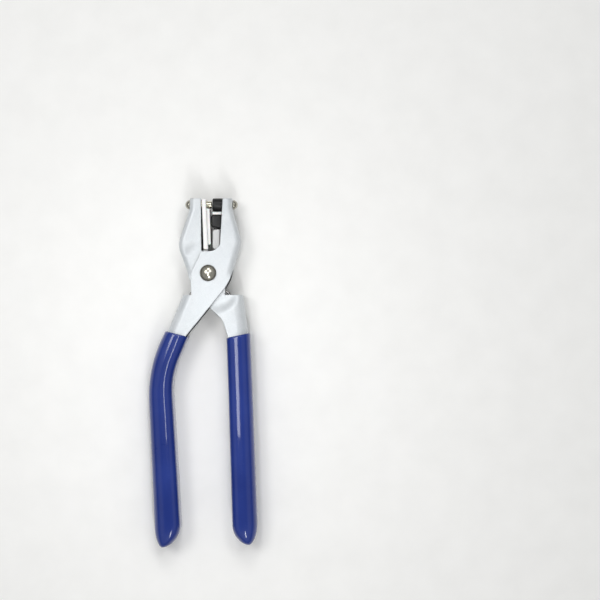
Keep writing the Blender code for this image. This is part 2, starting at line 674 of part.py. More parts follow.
adapter_back = anvil_base - DIE_BASE_LENGTH - GAP
adapter_length = adapter_back - ADAPTER_FACE_X
socket = POST_RADIUS + GAP
adapter_profile = [(NOSE_LENGTH, 0), (NOSE_LENGTH, socket), (0, socket), (0, ADAPTER_RADIUS - 0.4),
                   (0.4, ADAPTER_RADIUS), (adapter_length - 0.5, ADAPTER_RADIUS),
                   (adapter_length, ADAPTER_RADIUS - 0.5), (adapter_length, socket),
                   (adapter_length - ADAPTER_CUP, socket - 0.4), (adapter_length - ADAPTER_CUP, 0)]
add_mesh("rubber_adapter", *turned(adapter_profile, (adapter_back, DIE_Y, MID), (-1, 0, 0)),
         RUBBER, smooth=True)

neck_left = STRAP_LEFT_X + 2.0
neck_right = STRAP_RIGHT_X - 1.4
neck_top = DIE_Y - ADAPTER_RADIUS - GAP
tail_right = CLIP_RIGHT_X - CLIP_SHEET - GAP
strap_outline = rounded([(neck_right, neck_top, 0), (neck_left, neck_top, 0), (neck_left, STRAP_TOP_Y, 0),
                         (STRAP_LEFT_X, STRAP_TOP_Y, 0.8), (STRAP_LEFT_X, STRAP_LOW_Y + 0.8, 0.6),
                         (STRAP_RIGHT_X, STRAP_LOW_Y - 0.3, 0.6), (STRAP_RIGHT_X, STRAP_TOP_Y, 0.8),
                         (neck_right, STRAP_TOP_Y, 0)], steps=3)
strap = add_mesh("adapter_strap", *prism(strap_outline, MID - STRAP_HALF_DEPTH, MID + STRAP_HALF_DEPTH),
                 RUBBER, smooth=True)
for tag, direction in (("front", 1), ("back", -1)):
    near, far = NECK_HALF_DEPTH * direction, (STRAP_HALF_DEPTH + 2) * direction
    low = (0, STRAP_TOP_Y, MID + min(near, far))
    high = (STRAP_RIGHT_X + 2, neck_top + 2, MID + max(near, far))
    combine(strap, cutter("neck_cut_" + tag, *box(low, high)))
tail_low = (CLIP_LEFT_X + 0.4, CLIP_LOW_Y + 3.0, MID - CLIP_HALF_DEPTH + CLIP_SHEET + GAP)
tail_high = (tail_right, STRAP_LOW_Y + 2.0, MID + CLIP_HALF_DEPTH - CLIP_SHEET - GAP)
combine(strap, cutter("strap_tail", *box(tail_low, tail_high)), "UNION")

band_low = STRAP_TOP_Y + GAP
band = add_mesh("adapter_band", *box((STRAP_LEFT_X + 0.5, band_low, MID - 4.0),
                                     (STRAP_RIGHT_X, band_low + BAND_HEIGHT, MID + 4.0)), NYLON)
combine(band, cutter("band_slot", *box((neck_left - GAP, band_low - 1, MID - NECK_HALF_DEPTH - GAP),
                                       (neck_right + GAP, band_low + BAND_HEIGHT + 1,
                                        MID + NECK_HALF_DEPTH + GAP))))

foot_low, foot_high = CLIP_FOOT_Y - CLIP_FOOT_HEIGHT / 2, CLIP_FOOT_Y + CLIP_FOOT_HEIGHT / 2
foot_right = x_on(right_jaw_web, CLIP_FOOT_Y) - SHEET - GAP - 1.1
clip_outline = rounded([(CLIP_LEFT_X, CLIP_LOW_Y, 1.0), (CLIP_RIGHT_X, CLIP_LOW_Y, 0),
                        (CLIP_RIGHT_X, foot_low, 0), (foot_right, foot_low, 0), (foot_right, foot_high, 0),
                        (CLIP_RIGHT_X, foot_high, 0), (CLIP_RIGHT_X, CLIP_TOP_Y - 0.6, 1.4),
                        (CLIP_LEFT_X, CLIP_TOP_Y, 1.4)], steps=4)
clip = add_mesh("strap_clip", *prism(clip_outline, MID - CLIP_HALF_DEPTH, MID + CLIP_HALF_DEPTH),
                STEEL, smooth=True)
clip_depth = CLIP_HALF_DEPTH - CLIP_SHEET
combine(clip, cutter("clip_channel", *box((CLIP_LEFT_X - 2, CLIP_LOW_Y + 2.7, MID - clip_depth),
                                          (CLIP_RIGHT_X - CLIP_SHEET, CLIP_TOP_Y + 2, MID + clip_depth))))


# ---------------------------------------------------------------- platform, its pin and spring

platform_axis = add_axis("platform_axis", (*PLATFORM_PIN, 0), pivot_axis)
seat_x = LEFT_EDGE_X + GAP + 0.1                # just off the left jaw's open edge
plate_low_x = seat_x + 1.0
pin_x, pin_y = PLATFORM_PIN
plate_outline = np.array([(seat_x, PLATFORM_TIP_Y), (plate_low_x, PLATFORM_LOW_Y),
                          (plate_low_x + PLATFORM_THICK + 0.3, PLATFORM_LOW_Y),
                          (seat_x + PLATFORM_THICK, PLATFORM_TIP_Y)])
platform = add_mesh("platform", *prism(plate_outline, MID - HALF, MID + HALF), NYLON, platform_axis)

pad_low_y = PLATFORM_LOW_Y + 2.4
pad_back_x = seat_x + PLATFORM_THICK - 0.4
pad_outline = np.array([(pad_back_x, FORK_Y), (pad_back_x, pad_low_y), (PAD_FACE_X + 0.3, pad_low_y),
                        (PAD_FACE_X - 0.25, FORK_Y)])
pad = cutter("pad", *prism(pad_outline, MID - PAD_HALF_DEPTH, MID + PAD_HALF_DEPTH))
combine(platform, pad, "UNION")

eye_half = JOGGLE_HOLLOW - GAP
eye_outline = []
for step in range(17):
    angle = math.radians(170 + 200 * step / 16)
    eye_outline.append((pin_x + EYE_RADIUS * math.cos(angle), pin_y + EYE_RADIUS * math.sin(angle)))
eye_outline += [(plate_low_x + PLATFORM_THICK, PLATFORM_LOW_Y + 3), (plate_low_x + 0.4, PLATFORM_LOW_Y + 3)]
eye = cutter("eye", *prism(np.array(eye_outline), MID - eye_half, MID + eye_half))
combine(platform, eye, "UNION")

fork = cutter("fork", *box((-8, FORK_Y, MID - POST_RADIUS - GAP), (6, PLATFORM_TIP_Y + 3,
                                                                  MID + POST_RADIUS + GAP)))
combine(platform, fork)
eye_bore = cutter("eye_bore", *turned([(-HALF, 0), (-HALF, PIN_RADIUS + GAP), (HALF, PIN_RADIUS + GAP),
                                       (HALF, 0)], (*PLATFORM_PIN, MID), (0, 0, 1)))
combine(platform, eye_bore)

pin_half = JOGGLE_HALF
pin_profile = [(-pin_half, 0), (-pin_half, PIN_RADIUS), (pin_half, PIN_RADIUS), (pin_half, 0)]
add_mesh("platform_pin", *turned(pin_profile, (*PLATFORM_PIN, MID), (0, 0, 1), steps=16), STEEL,
         pivot_axis, smooth=True)

leaf_foot = x_on(left_jaw_web, 19.0) + SHEET + 1.2
leaf_line = rounded([(leaf_foot, 18.0, 0), (x_on(left_jaw_web, 25.5) + SHEET + 0.7, 25.5, 6),
                     (seat_x - 0.6, 30.0, 3), (seat_x - 0.6, 32.2, 0)], steps=6, closed=False)
directions = np.gradient(leaf_line, axis=0)
sideways = np.stack((-directions[:, 1], directions[:, 0]), axis=1)
sideways /= np.linalg.norm(sideways, axis=1)[:, None]
leaf_outline = np.concatenate((leaf_line + sideways * LEAF_SHEET / 2,
                               (leaf_line - sideways * LEAF_SHEET / 2)[::-1]))
add_mesh("platform_spring", *prism(leaf_outline, MID - LEAF_HALF_WIDTH, MID + LEAF_HALF_WIDTH),
         SPRING_STEEL, pivot_axis, smooth=True)
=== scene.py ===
"""Snap and grommet setting pliers, lying closed on a pale floor: the finished look of every piece.

Outlines are written in millimetres in the tool's own frame, and turned into metres when a mesh is
made. +Y runs from the pivot to the jaw tips, +X to the right-hand jaw and +Z up from the floor.
"""

import bmesh
import bpy
import numpy as np
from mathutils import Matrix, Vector


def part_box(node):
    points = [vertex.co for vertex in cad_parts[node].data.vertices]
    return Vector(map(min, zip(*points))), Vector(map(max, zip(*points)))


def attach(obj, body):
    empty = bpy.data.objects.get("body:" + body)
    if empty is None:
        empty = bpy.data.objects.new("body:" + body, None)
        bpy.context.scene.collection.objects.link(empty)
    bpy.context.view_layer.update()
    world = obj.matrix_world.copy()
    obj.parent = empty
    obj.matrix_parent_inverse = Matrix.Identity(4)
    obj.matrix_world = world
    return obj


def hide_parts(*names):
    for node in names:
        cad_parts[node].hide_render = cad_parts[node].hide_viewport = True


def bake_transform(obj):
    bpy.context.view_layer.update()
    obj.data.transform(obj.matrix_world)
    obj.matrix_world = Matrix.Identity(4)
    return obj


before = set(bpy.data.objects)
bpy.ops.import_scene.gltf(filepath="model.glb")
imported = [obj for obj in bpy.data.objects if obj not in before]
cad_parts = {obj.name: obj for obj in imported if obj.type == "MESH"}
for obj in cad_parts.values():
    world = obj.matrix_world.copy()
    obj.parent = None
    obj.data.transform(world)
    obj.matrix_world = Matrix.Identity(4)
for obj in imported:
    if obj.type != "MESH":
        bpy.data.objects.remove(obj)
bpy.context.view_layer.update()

# ---------------------------------------------------------------- camera, floor and light
# A square-on camera over a plain pale floor. Four soft boxes stand round the tool, and a narrow strip
# hangs close above its handles. The tool lies left of the camera's axis, so its right-hand sides show.

MM = 0.001
CAMERA_OVER = (50.3, -14.8)      # the point of the floor that the camera looks down on
FIELD = 330.0                    # width seen at the tool's widest height
CAMERA_HEIGHT = 760.0            # above that height
WIDEST_HEIGHT = 14.0
SENSOR = 36.0
FLOOR_HALF, FLOOR_POINTS = 700.0, 9
FLOOR_DROP = 0.05                # keeps the floor clear of the faces that rest on it
SKY_STRENGTH = 0.52


def box_mm(node):
    """Lowest and highest corner of a solid of the frame, in millimetres."""
    low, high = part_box(node)
    return np.array(low) / MM, np.array(high) / MM


def node(tree, kind, settings=(), **inputs):
    """A shader node with its settings made, and each input set or linked."""
    made = tree.nodes.new("ShaderNode" + kind)
    for key, value in dict(settings).items():
        setattr(made, key, value)
    for key, value in inputs.items():
        socket = made.inputs[int(key[1:])] if key[0] == "i" and key[1:].isdigit() \
            else made.inputs[key.replace("_", " ")]
        if isinstance(value, bpy.types.NodeSocket):
            tree.links.new(value, socket)
        else:
            socket.default_value = value
    return made


def ramp(tree, value, *stops):
    """A colour ramp through (position, grey or colour) stops."""
    made = node(tree, "ValToRGB", Fac=value)
    elements = made.color_ramp.elements
    while len(elements) < len(stops):
        elements.new(0.5)
    for element, (position, colour) in zip(elements, stops):
        element.position = position
        element.color = (*colour, 1) if hasattr(colour, "__len__") else (colour,) * 3 + (1,)
    return made.outputs["Color"]


def noise(tree, where, scale, detail, **inputs):
    """A cloudy pattern from 0 to 1 over the coordinates given."""
    return node(tree, "TexNoise", Vector=where, Scale=scale, Detail=detail, **inputs).outputs["Fac"]


def feed(tree, shader, **patterns):
    """Each pattern linked to the shader's input of that name."""
    for key, pattern in patterns.items():
        tree.links.new(pattern, shader.inputs[key.replace("_", " ")])


def material(name, metallic=0.0, **shader_inputs):
    """A material with its tree, its shader and its object coordinates; uniform values go on the shader."""
    made = bpy.data.materials.new(name)
    made.use_nodes = True
    tree = made.node_tree
    shader = tree.nodes["Principled BSDF"]
    shader.inputs["Metallic"].default_value = metallic
    for key, value in shader_inputs.items():
        shader.inputs[key.replace("_", " ")].default_value = value
    return made, tree, shader, node(tree, "TexCoord").outputs["Object"]


def grid_faces(rows, columns, closed_rows=False, closed_columns=False):
    """Quads of a grid of points numbered row by row; a closed one joins its last line to its first."""
    i, j = np.meshgrid(np.arange(rows - (not closed_rows)), np.arange(columns - (not closed_columns)),
                       indexing="ij")
    k, m = (i + 1) % rows, (j + 1) % columns
    return np.stack((i * columns + j, i * columns + m, k * columns + m, k * columns + j),
                    axis=-1).reshape(-1, 4)


def add_piece(name, points, faces, finish, smooth_angle=40, marks=()):
    """A mesh object at the origin from points in millimetres: doubles merged, faces turned outwards."""
    mesh = bpy.data.meshes.new(name)
    mesh.from_pydata((np.asarray(points).reshape(-1, 3) * MM).tolist(), [], faces.tolist())
    for key, values in dict(marks).items():
        mesh.attributes.new(key, "FLOAT", "POINT").data.foreach_set("value", values.astype(np.float32))
    shape = bmesh.new()
    shape.from_mesh(mesh)
    bmesh.ops.remove_doubles(shape, verts=shape.verts, dist=1e-7)
    bmesh.ops.recalc_face_normals(shape, faces=shape.faces)
    shape.to_mesh(mesh)
    shape.free()
    mesh.shade_smooth()
    mesh.set_sharp_from_angle(angle=np.radians(smooth_angle))
    mesh.materials.append(finish)
    made = bpy.data.objects.new(name, mesh)
    bpy.context.scene.collection.objects.link(made)
    return made


def softbox(name, place, width, length, power, aim=(0, -50, 10)):
    """An area light that faces a point, the tool's middle unless told otherwise."""
    light = bpy.data.lights.new(name, "AREA")
    light.shape, light.size, light.size_y = "RECTANGLE", width * MM, length * MM
    light.energy = power
    made = bpy.data.objects.new(name, light)
    made.location = Vector(place) * MM
    made.rotation_euler = (Vector(aim) * MM - made.location).to_track_quat("-Z", "Y").to_euler()
    bpy.context.scene.collection.objects.link(made)


camera = bpy.data.objects.new("camera", bpy.data.cameras.new("camera"))
camera.location = Vector((*CAMERA_OVER, WIDEST_HEIGHT + CAMERA_HEIGHT)) * MM
camera.data.sensor_width = SENSOR
camera.data.lens = SENSOR * CAMERA_HEIGHT / FIELD
camera.data.clip_start = 0.01
bpy.context.scene.collection.objects.link(camera)
bpy.context.scene.camera = camera
bpy.context.scene.view_settings.view_transform = "Standard"

floor_finish, tree, shader, where = material("pale_floor", Roughness=0.75, Specular_IOR_Level=0.2)
mottle = noise(tree, where, 60.0, 4.0)
feed(tree, shader, Base_Color=ramp(tree, mottle, (0.3, (0.88, 0.88, 0.865)), (0.7, (0.91, 0.91, 0.895))))
x, y = np.meshgrid(*[np.linspace(-FLOOR_HALF, FLOOR_HALF, FLOOR_POINTS)] * 2, indexing="ij")
floor_points = np.stack((x, y, np.full(x.shape, -FLOOR_DROP)), axis=-1)
floor = add_piece("floor", floor_points, grid_faces(FLOOR_POINTS, FLOOR_POINTS)[:, ::-1], floor_finish)

softbox("left_box", (-330, 170, 800), width=280, length=280, power=1.9)
softbox("right_box", (300, 320, 880), width=240, length=240, power=1.2)
softbox("top_box", (40, 560, 700), width=300, length=220, power=1.1)
softbox("front_box", (110, -540, 640), width=80, length=260, power=1.1)
softbox("near_strip", (-6, -40, 195), width=24, length=136, power=0.088, aim=(-6, -60, 10))

world = bpy.data.worlds.new("studio")
world.use_nodes = True
bpy.context.scene.world = world
sky = world.node_tree
height = node(sky, "SeparateXYZ", Vector=node(sky, "TexCoord").outputs["Generated"]).outputs["Z"]
shade = ramp(sky, height, (0.03, 0.85), (0.1, 0.16), (0.25, 0.28), (0.5, 0.95), (0.82, 0.95),
             (0.93, 0.30), (1.0, 0.22))             # bright low down and halfway up, dim overhead
sky.links.new(shade, sky.nodes["Background"].inputs["Color"])
sky.nodes["Background"].inputs["Strength"].default_value = SKY_STRENGTH

# ---------------------------------------------------------------- levers
# Two channels stamped and bent from 1.8 mm steel sheet and painted silver: each is one jaw and, past
# the rivet, the other side's handle. The inner one's cheeks are pressed closer to pass inside.

SHEET = 1.8
GAP = 0.3                        # clearance between pieces that touch
SHEET_GAP = 0.4                  # clearance between the two levers' sheets
JAW_BEND, HANDLE_BEND = 3.0, 5.6
WEB_END_Y, SHOULDER_Y, THROAT_Y = 2.0, -12.0, 12.1
BOSS_RADIUS = 9.5
EDGE_ROUND = 0.2                 # the stamped edges' small radius, filled by the paint
FADE = 5.0                       # past a web's end the bend dies out in this length
PRESS_CENTRE, PRESS_RADIUS, PRESS_RUN = (0.0, -2.0), 22.3, 6.8
DRAWN_IN = 1.2                   # the sleeves' wall and fit, over the handles' edges
HEAD_HEIGHT, HEAD_RADIUS = 2.6, 2.6    # of the dies' rivets
SEAT_BELOW = 2.6                 # the jaws' flat seat goes on this far below the dies' axis
SLEEVE_END_Y = -141.0

JAW_ROWS, THROAT_ROWS, SLIDE_ROWS = 46, 30, 24    # grid rows to the throat, the web's end, the shoulder,
MOUTH_ROWS, HANDLE_ROWS = 44, 40                  # the sleeve's mouth and the handle's end
JAW_TURNS, HANDLE_TURNS, HANDLE_FLATS = 9, 10, 32
EASE = 0.15                      # share of the slide in which the upper grid joins the lower one

lever_low, lever_high = box_mm("outer_lever")
MID = (lever_low[2] + lever_high[2]) / 2
HALF = (lever_high[2] - lever_low[2]) / 2
JAW_TIP_Y, HANDLE_END_Y = lever_high[1], lever_low[1]
DIE_Y = np.mean([corner[1] for corner in box_mm("anvil_die")])
RIGHT_SEAT_X = box_mm("anvil_die_rivet")[1][0] - (GAP + HEAD_HEIGHT)
LEFT_SEAT_X = box_mm("post_die_rivet")[0][0] + (GAP + HEAD_HEIGHT)
SEAT_LOW_Y = DIE_Y - SEAT_BELOW

LEFT_SLEEVE_OUTER = [(-23.8, -32.1, 60), (-30.4, -45.5, 70), (-33.2, -64.0, 70), (-29.7, SLEEVE_END_Y, 0)]
LEFT_SLEEVE_INNER = [(-11.3, -35.3, 0), (-20.2, -57.0, 45), (-15.2, SLEEVE_END_Y, 0)]
RIGHT_SLEEVE_OUTER = [(22.9, -33.2, 60), (24.2, -65.0, 200), (27.0, SLEEVE_END_Y, 0)]
RIGHT_SLEEVE_INNER = [(9.9, -36.1, 0), (10.9, -65.0, 200), (13.2, SLEEVE_END_Y, 0)]


def unit(vectors):
    return vectors / np.linalg.norm(vectors, axis=-1, keepdims=True)


def rounded(corners, steps=12):
    """An open line through corners (x, y, radius), each inner corner drawn as an arc.

    With h half the angle between the two straight stretches, the arc's centre stands radius / sin h
    from the corner on their bisector, and the arc turns through 180 degrees less twice h.
    """
    spots = np.array([corner[:2] for corner in corners], float)
    radius = np.array([corner[2] for corner in corners[1:-1]], float)
    here = spots[1:-1]
    back, ahead = unit(spots[:-2] - here), unit(spots[2:] - here)
    half = np.arccos(np.clip((back * ahead).sum(1), -1, 1)) / 2
    centre = here + unit(back + ahead) * (radius / np.sin(half))[:, None]
    start = here + back * (radius / np.tan(half))[:, None] - centre
    turn = np.sign(back[:, 1] * ahead[:, 0] - back[:, 0] * ahead[:, 1]) * (np.pi - 2 * half)
    angle = turn[:, None] * np.linspace(0, 1, steps + 1)
    cos, sin = np.cos(angle), np.sin(angle)
    arcs = np.stack((start[:, :1] * cos - start[:, 1:] * sin, start[:, :1] * sin + start[:, 1:] * cos),
                    axis=-1) + centre[:, None]
    return np.concatenate((spots[:1], arcs.reshape(-1, 2), spots[-1:]))


def drawn_in(corners, distance):
    """Corners moved sideways by their mitres: to the left of the line's direction if positive."""
    spots = np.array([corner[:2] for corner in corners], float)
    along = unit(np.diff(spots, axis=0))
    left = np.stack((-along[:, 1], along[:, 0]), axis=1)
    index = np.arange(len(spots))
    before, after = left[np.maximum(index - 1, 0)], left[np.minimum(index, len(left) - 1)]
    moved = spots + (before + after) / (1 + (before * after).sum(1))[:, None] * distance
    return [(*spot, corner[2]) for spot, corner in zip(moved, corners)]


def even(line, count):
    """count + 1 points at equal lengths along a line of points."""
    length = np.append(0, np.cumsum(np.linalg.norm(np.diff(line, axis=0), axis=1)))
    spots = np.linspace(0, length[-1], count + 1)
    return np.column_stack([np.interp(spots, length, line[:, axis]) for axis in (0, 1)])


def stretches(line, knots, counts):
    """A line cut at the points nearest to the knots, each stretch with its own count of even steps."""
    cuts = [0] + [int(np.argmin(np.linalg.norm(line - knot, axis=1))) for knot in knots] + [len(line) - 1]
    parts = [even(line[a:b + 1], count) for a, b, count in zip(cuts, cuts[1:], counts)]
    return np.concatenate([part[:-1] for part in parts[:-1]] + [parts[-1]])


def dense(line, spacing=0.15):
    """The same line with a point at least every spacing."""
    length = np.linalg.norm(np.diff(line, axis=0), axis=1).sum()
    return even(line, int(length / spacing))


def squareness(line, across):
    """How square the across vectors stand to a line: the sine of the angle between them, 0.5 at least."""
    along = unit(np.gradient(line, axis=0))
    return np.maximum(np.abs(along[:, 0] * across[:, 1] - along[:, 1] * across[:, 0]), 0.5)[:, None]


def bent_skins(web, across, square, distance, bend, strength, press):
    """Outer and inner skin of a cheek that is bent over into a web along its edge.

    distance is each point's square distance from the web's outer face. Inside the bend's radius r the
    outer skin drops by r - sqrt(r^2 - (r - d)^2), a quarter circle, and the inner skin follows the
    circle of radius r less the sheet. strength 0 leaves the cheek flat out to its edge. press lowers
    both skins where the cheek is pressed in.
    """
    inside = np.clip(1 - distance / bend, 0, 1)                  # cosine of the angle round the bend
    sine = np.sqrt(1 - inside ** 2)
    drop = strength * bend * (1 - sine)
    inner_distance = np.where(inside > 0, SHEET + (bend - SHEET) * (1 - inside), distance)
    inner_distance = strength * inner_distance + (1 - strength) * distance
    inner_drop = strength * (bend - (bend - SHEET) * sine) + (1 - strength) * SHEET
    skins = []
    for reach, fall in ((distance, drop), (inner_distance, inner_drop)):
        plan = web[:, None] + across[:, None] * (reach / square)[..., None]
        skins.append(np.concatenate((plan, (HALF - fall - press(plan))[..., None]), axis=-1))
    return skins


def closed_sheet(patches):
    """One closed body from patches of (outer skin, inner skin), welded, with a rim round each edge.

    An edge that only one quad uses is on the border, where a quad joins the two skins. Also gives each
    point's marks: rim is 1 on a rim, and inside is 1 on the inner skin.
    """
    outer, inner, faces, start = [], [], [], 0
    for outside, inside in patches:
        rows, columns = outside.shape[:2]
        outer.append(outside.reshape(-1, 3))
        inner.append(inside.reshape(-1, 3))
        faces.append(grid_faces(rows, columns) + start)
        start += rows * columns
    outer, inner, faces = map(np.concatenate, (outer, inner, faces))
    first, index = np.unique(np.round(outer, 3) + 0.0, axis=0, return_index=True, return_inverse=True)[1:]
    outer, inner, faces = outer[first], inner[first], index.reshape(-1)[faces]
    edges = np.concatenate([faces[:, [a, (a + 1) % 4]] for a in range(4)])
    position, count = np.unique(np.sort(edges, axis=1), axis=0, return_index=True, return_counts=True)[1:]
    border = edges[position[count == 1]]
    size = len(outer)
    rim = np.column_stack((border[:, 1], border[:, 0], border[:, 0] + size, border[:, 1] + size))
    marks = {"rim": np.zeros(2 * size), "inside": np.repeat((0, 1), size)}
    marks["rim"][np.concatenate((border.ravel(), border.ravel() + size))] = 1
    return np.concatenate((outer, inner)), np.concatenate((faces, faces[:, ::-1] + size, rim)), marks


def whole_profile(front, web_steps=8):
    """A front cheek's grid carried on straight over the web and along the mirrored back cheek."""
    back = front[:, 1:] * (1, 1, -1)
    share = np.linspace(1, -1, web_steps + 1)[:, None]
    web = np.concatenate((np.repeat(front[:, :1, :2], web_steps + 1, axis=1),
                          front[:, :1, 2:] * share), axis=-1)
    return np.concatenate((front[:, :0:-1], web, back), axis=1)


def lever_body(web_jaw, open_jaw, crossing, web_handle, knots, press):
    """Closed channel lever from four lines that run from the jaw's tip to the handle's end.

    Stations cross the sheet from the jaw's web to its open edge and, past the shoulder, from the
    handle's web to its open edge. Between the jaw's web end and the shoulder the bend dies out and
    the columns slide from the jaw's spacing to the handle's, so that the two grids meet point to point.
    """
    web_throat, open_throat, boss_start, shoulder_edge, mouth_open, mouth_web = knots
    near = stretches(dense(rounded(web_jaw)), [web_throat], (JAW_ROWS, THROAT_ROWS))
    web_end = len(near) - 1
    far = stretches(dense(rounded(open_jaw)), [open_throat, boss_start], (JAW_ROWS, THROAT_ROWS, SLIDE_ROWS))
    edge = stretches(dense(rounded([(*near[-1], 0)] + crossing)), [shoulder_edge, mouth_open],
                     (SLIDE_ROWS, MOUTH_ROWS, HANDLE_ROWS))
    near, open_low = np.concatenate((near, edge[1:SLIDE_ROWS + 1])), edge[SLIDE_ROWS:]
    web_low = stretches(dense(rounded(web_handle)), [mouth_web], (MOUTH_ROWS, HANDLE_ROWS))

    across = unit(open_low - web_low)
    square = squareness(web_low, across)
    width = np.linalg.norm(open_low - web_low, axis=1)[:, None] * square
    notch = np.linalg.norm(far[-1] - web_low[0]) * square[0, 0]
    turn, flat = np.linspace(0, np.pi / 2, HANDLE_TURNS), np.linspace(0, 1, HANDLE_FLATS + 1)[1:]
    if notch < HANDLE_BEND:
        turn = np.sort(np.append(turn, np.arccos(1 - notch / HANDLE_BEND)))
    else:
        flat = np.sort(np.append(flat, (notch - HANDLE_BEND) / (width[0, 0] - HANDLE_BEND)))
    distance = np.hstack((np.tile(HANDLE_BEND * (1 - np.cos(turn)), (len(web_low), 1)),
                          HANDLE_BEND + (width - HANDLE_BEND) * flat))
    shared = int(np.argmin(np.abs(distance[0] - notch)))         # the column that starts at the notch
    lower = bent_skins(web_low, across, square, distance, HANDLE_BEND, 1.0, press)

    columns = distance.shape[1] - shared
    across = unit(far - near)
    square = squareness(near, across)
    width = np.linalg.norm(far - near, axis=1)[:, None] * square
    turn = np.linspace(0, np.pi / 2, JAW_TURNS)
    distance = np.hstack((np.tile(JAW_BEND * (1 - np.cos(turn)), (len(near), 1)),
                          JAW_BEND + (width - JAW_BEND) * np.linspace(0, 1, columns - JAW_TURNS + 1)[1:]))
    at_notch = np.linalg.norm(lower[0][0, shared:, :2] - near[-1], axis=1)[::-1] * square[-1]
    slide = np.clip((np.arange(len(near)) - web_end) / (len(near) - 1 - web_end), 0, 1)[:, None]
    distance = ((1 - slide) * distance / width + slide * at_notch / width[-1]) * width
    past = np.append(0, np.cumsum(np.linalg.norm(np.diff(near[web_end:], axis=0), axis=1))) / FADE
    past = np.concatenate((np.zeros(web_end), np.clip(past, 0, 1)))[:, None]
    upper = bent_skins(near, across, square, distance, JAW_BEND, 1 - past ** 2 * (3 - 2 * past), press)
    ease = np.clip((slide - (1 - EASE)) / EASE, 0, 1)[..., None]
    upper = [above + ease * (below[0, shared:][::-1] - above[-1]) for above, below in zip(upper, lower)]

    patches = [tuple(whole_profile(skin[:web_end + 1]) for skin in upper),
               tuple(skin[web_end:] for skin in upper),
               tuple(skin[web_end:] * (1, 1, -1) for skin in upper),
               tuple(whole_profile(skin) for skin in lower)]
    points, faces, marks = closed_sheet(patches)
    return points + (0, 0, MID), faces, marks


def ended(corners):
    """Corners of a sleeve's edge turned into the handle's own, which stops short inside the sleeve."""
    (x0, y0, _), (x1, y1, _) = corners[-2:]
    x = x0 + (x1 - x0) * (HANDLE_END_Y - y0) / (y1 - y0)
    return corners[:-1] + [(x, HANDLE_END_Y, 0)]


def pressed_in(plan):
    """Depth of the inner lever's pressed disc: a smooth step, 3t^2 - 2t^3, across its rim."""
    away = np.linalg.norm(plan - np.array(PRESS_CENTRE), axis=-1)
    t = np.clip((PRESS_RADIUS - away) / PRESS_RUN, 0, 1)
    return (SHEET + SHEET_GAP) * t * t * (3 - 2 * t)


def round_edges(piece, width, segments=2, angle=50):
    """The small radius that stamping and paint, or a mould, leave on every edge."""
    bevel = piece.modifiers.new("edges", "BEVEL")
    bevel.width, bevel.segments = width * MM, segments
    bevel.limit_method, bevel.angle_limit = "ANGLE", np.radians(angle)
    bevel.use_clamp_overlap = False
    bevel.harden_normals = False


def raised(tree, height, strength, distance, **inputs):
    """The surface's normal, leaning as if the surface rose and fell by a pattern of heights."""
    made = node(tree, "Bump", Strength=strength, Distance=distance, Height=height, **inputs)
    return made.outputs["Normal"]


def mixed(tree, share, first, second, blend="MIX"):
    """Two colours mixed by the second one's share; a Mix node's colours are its inputs 6 and 7."""
    made = node(tree, "Mix", {"data_type": "RGBA", "blend_type": blend}, i0=share, i6=first, i7=second)
    return made.outputs[2]


def product(tree, first, second):
    """Two patterns, or a pattern and a number, multiplied."""
    return node(tree, "Math", {"operation": "MULTIPLY"}, i0=first, i1=second).outputs["Value"]


paint, tree, shader, where = material("silver_paint", 0.2, Coat_Weight=0.2, Coat_Roughness=0.26)
cloud = noise(tree, where, 140.0, 5.0, Roughness=0.6)
flake = node(tree, "TexVoronoi", Vector=where, Scale=5200.0).outputs["Color"]
speck = node(tree, "SeparateColor", Color=flake).outputs["Red"]
base = ramp(tree, cloud, (0.3, (0.565, 0.60, 0.625)), (0.7, (0.63, 0.66, 0.68)))
flaked = mixed(tree, 0.35, base, ramp(tree, speck, (0.0, 0.78), (1.0, 1.12)), "MULTIPLY")
rim = node(tree, "Attribute", {"attribute_name": "rim"}).outputs["Fac"]
worn = product(tree, rim, ramp(tree, noise(tree, where, 900.0, 3.0), (0.5, 0.0), (0.7, 0.8)))
# Painted shade: the channels' inner skin is coloured near black, for the shade inside them.
inside = node(tree, "Attribute", {"attribute_name": "inside"}).outputs["Fac"]
inside_painted_shade = mixed(tree, inside, flaked, (0.06, 0.062, 0.065, 1))
peel = raised(tree, noise(tree, where, 700.0, 2.0), 0.18, 0.00012)
feed(tree, shader,
     Base_Color=mixed(tree, worn, inside_painted_shade, (0.28, 0.285, 0.29, 1)),
     Roughness=ramp(tree, cloud, (0.3, 0.36), (0.75, 0.48)),
     Normal=raised(tree, noise(tree, where, 190.0, 1.0), 0.35, 0.0005, Normal=peel))

right_jaw_web = [(RIGHT_SEAT_X, JAW_TIP_Y, 0), (RIGHT_SEAT_X, SEAT_LOW_Y, 12), (18.1, 17.5, 11),
                 (13.6, WEB_END_Y, 0)]
right_jaw_open = [(7.9, JAW_TIP_Y, 0), (6.5, THROAT_Y + 3.1, 3), (3.0, THROAT_Y, 5),
                  (-4.0, THROAT_Y - 0.4, 1), (-6.0, 7.2, 9), (-BOSS_RADIUS, 0.2, 7), (-9.3, SHOULDER_Y, 0)]
left_handle_open = [(11.6, -5.2, 26)] + ended(drawn_in(LEFT_SLEEVE_INNER, -DRAWN_IN))
left_handle_web = [(-14.1, SHOULDER_Y, 0)] + ended(drawn_in(LEFT_SLEEVE_OUTER, DRAWN_IN))
outer_knots = [(16.6, 14.0), (6.2, 14.9), (-8.9, 0.2), (6.3, SHOULDER_Y), (-12.6, -35.6), (-22.6, -32.5)]
points, faces, marks = lever_body(right_jaw_web, right_jaw_open, left_handle_open, left_handle_web,
                                  outer_knots, lambda plan: np.zeros(plan.shape[:-1]))
outer_lever = add_piece("outer_lever_sheet", points, faces, paint, marks=marks)

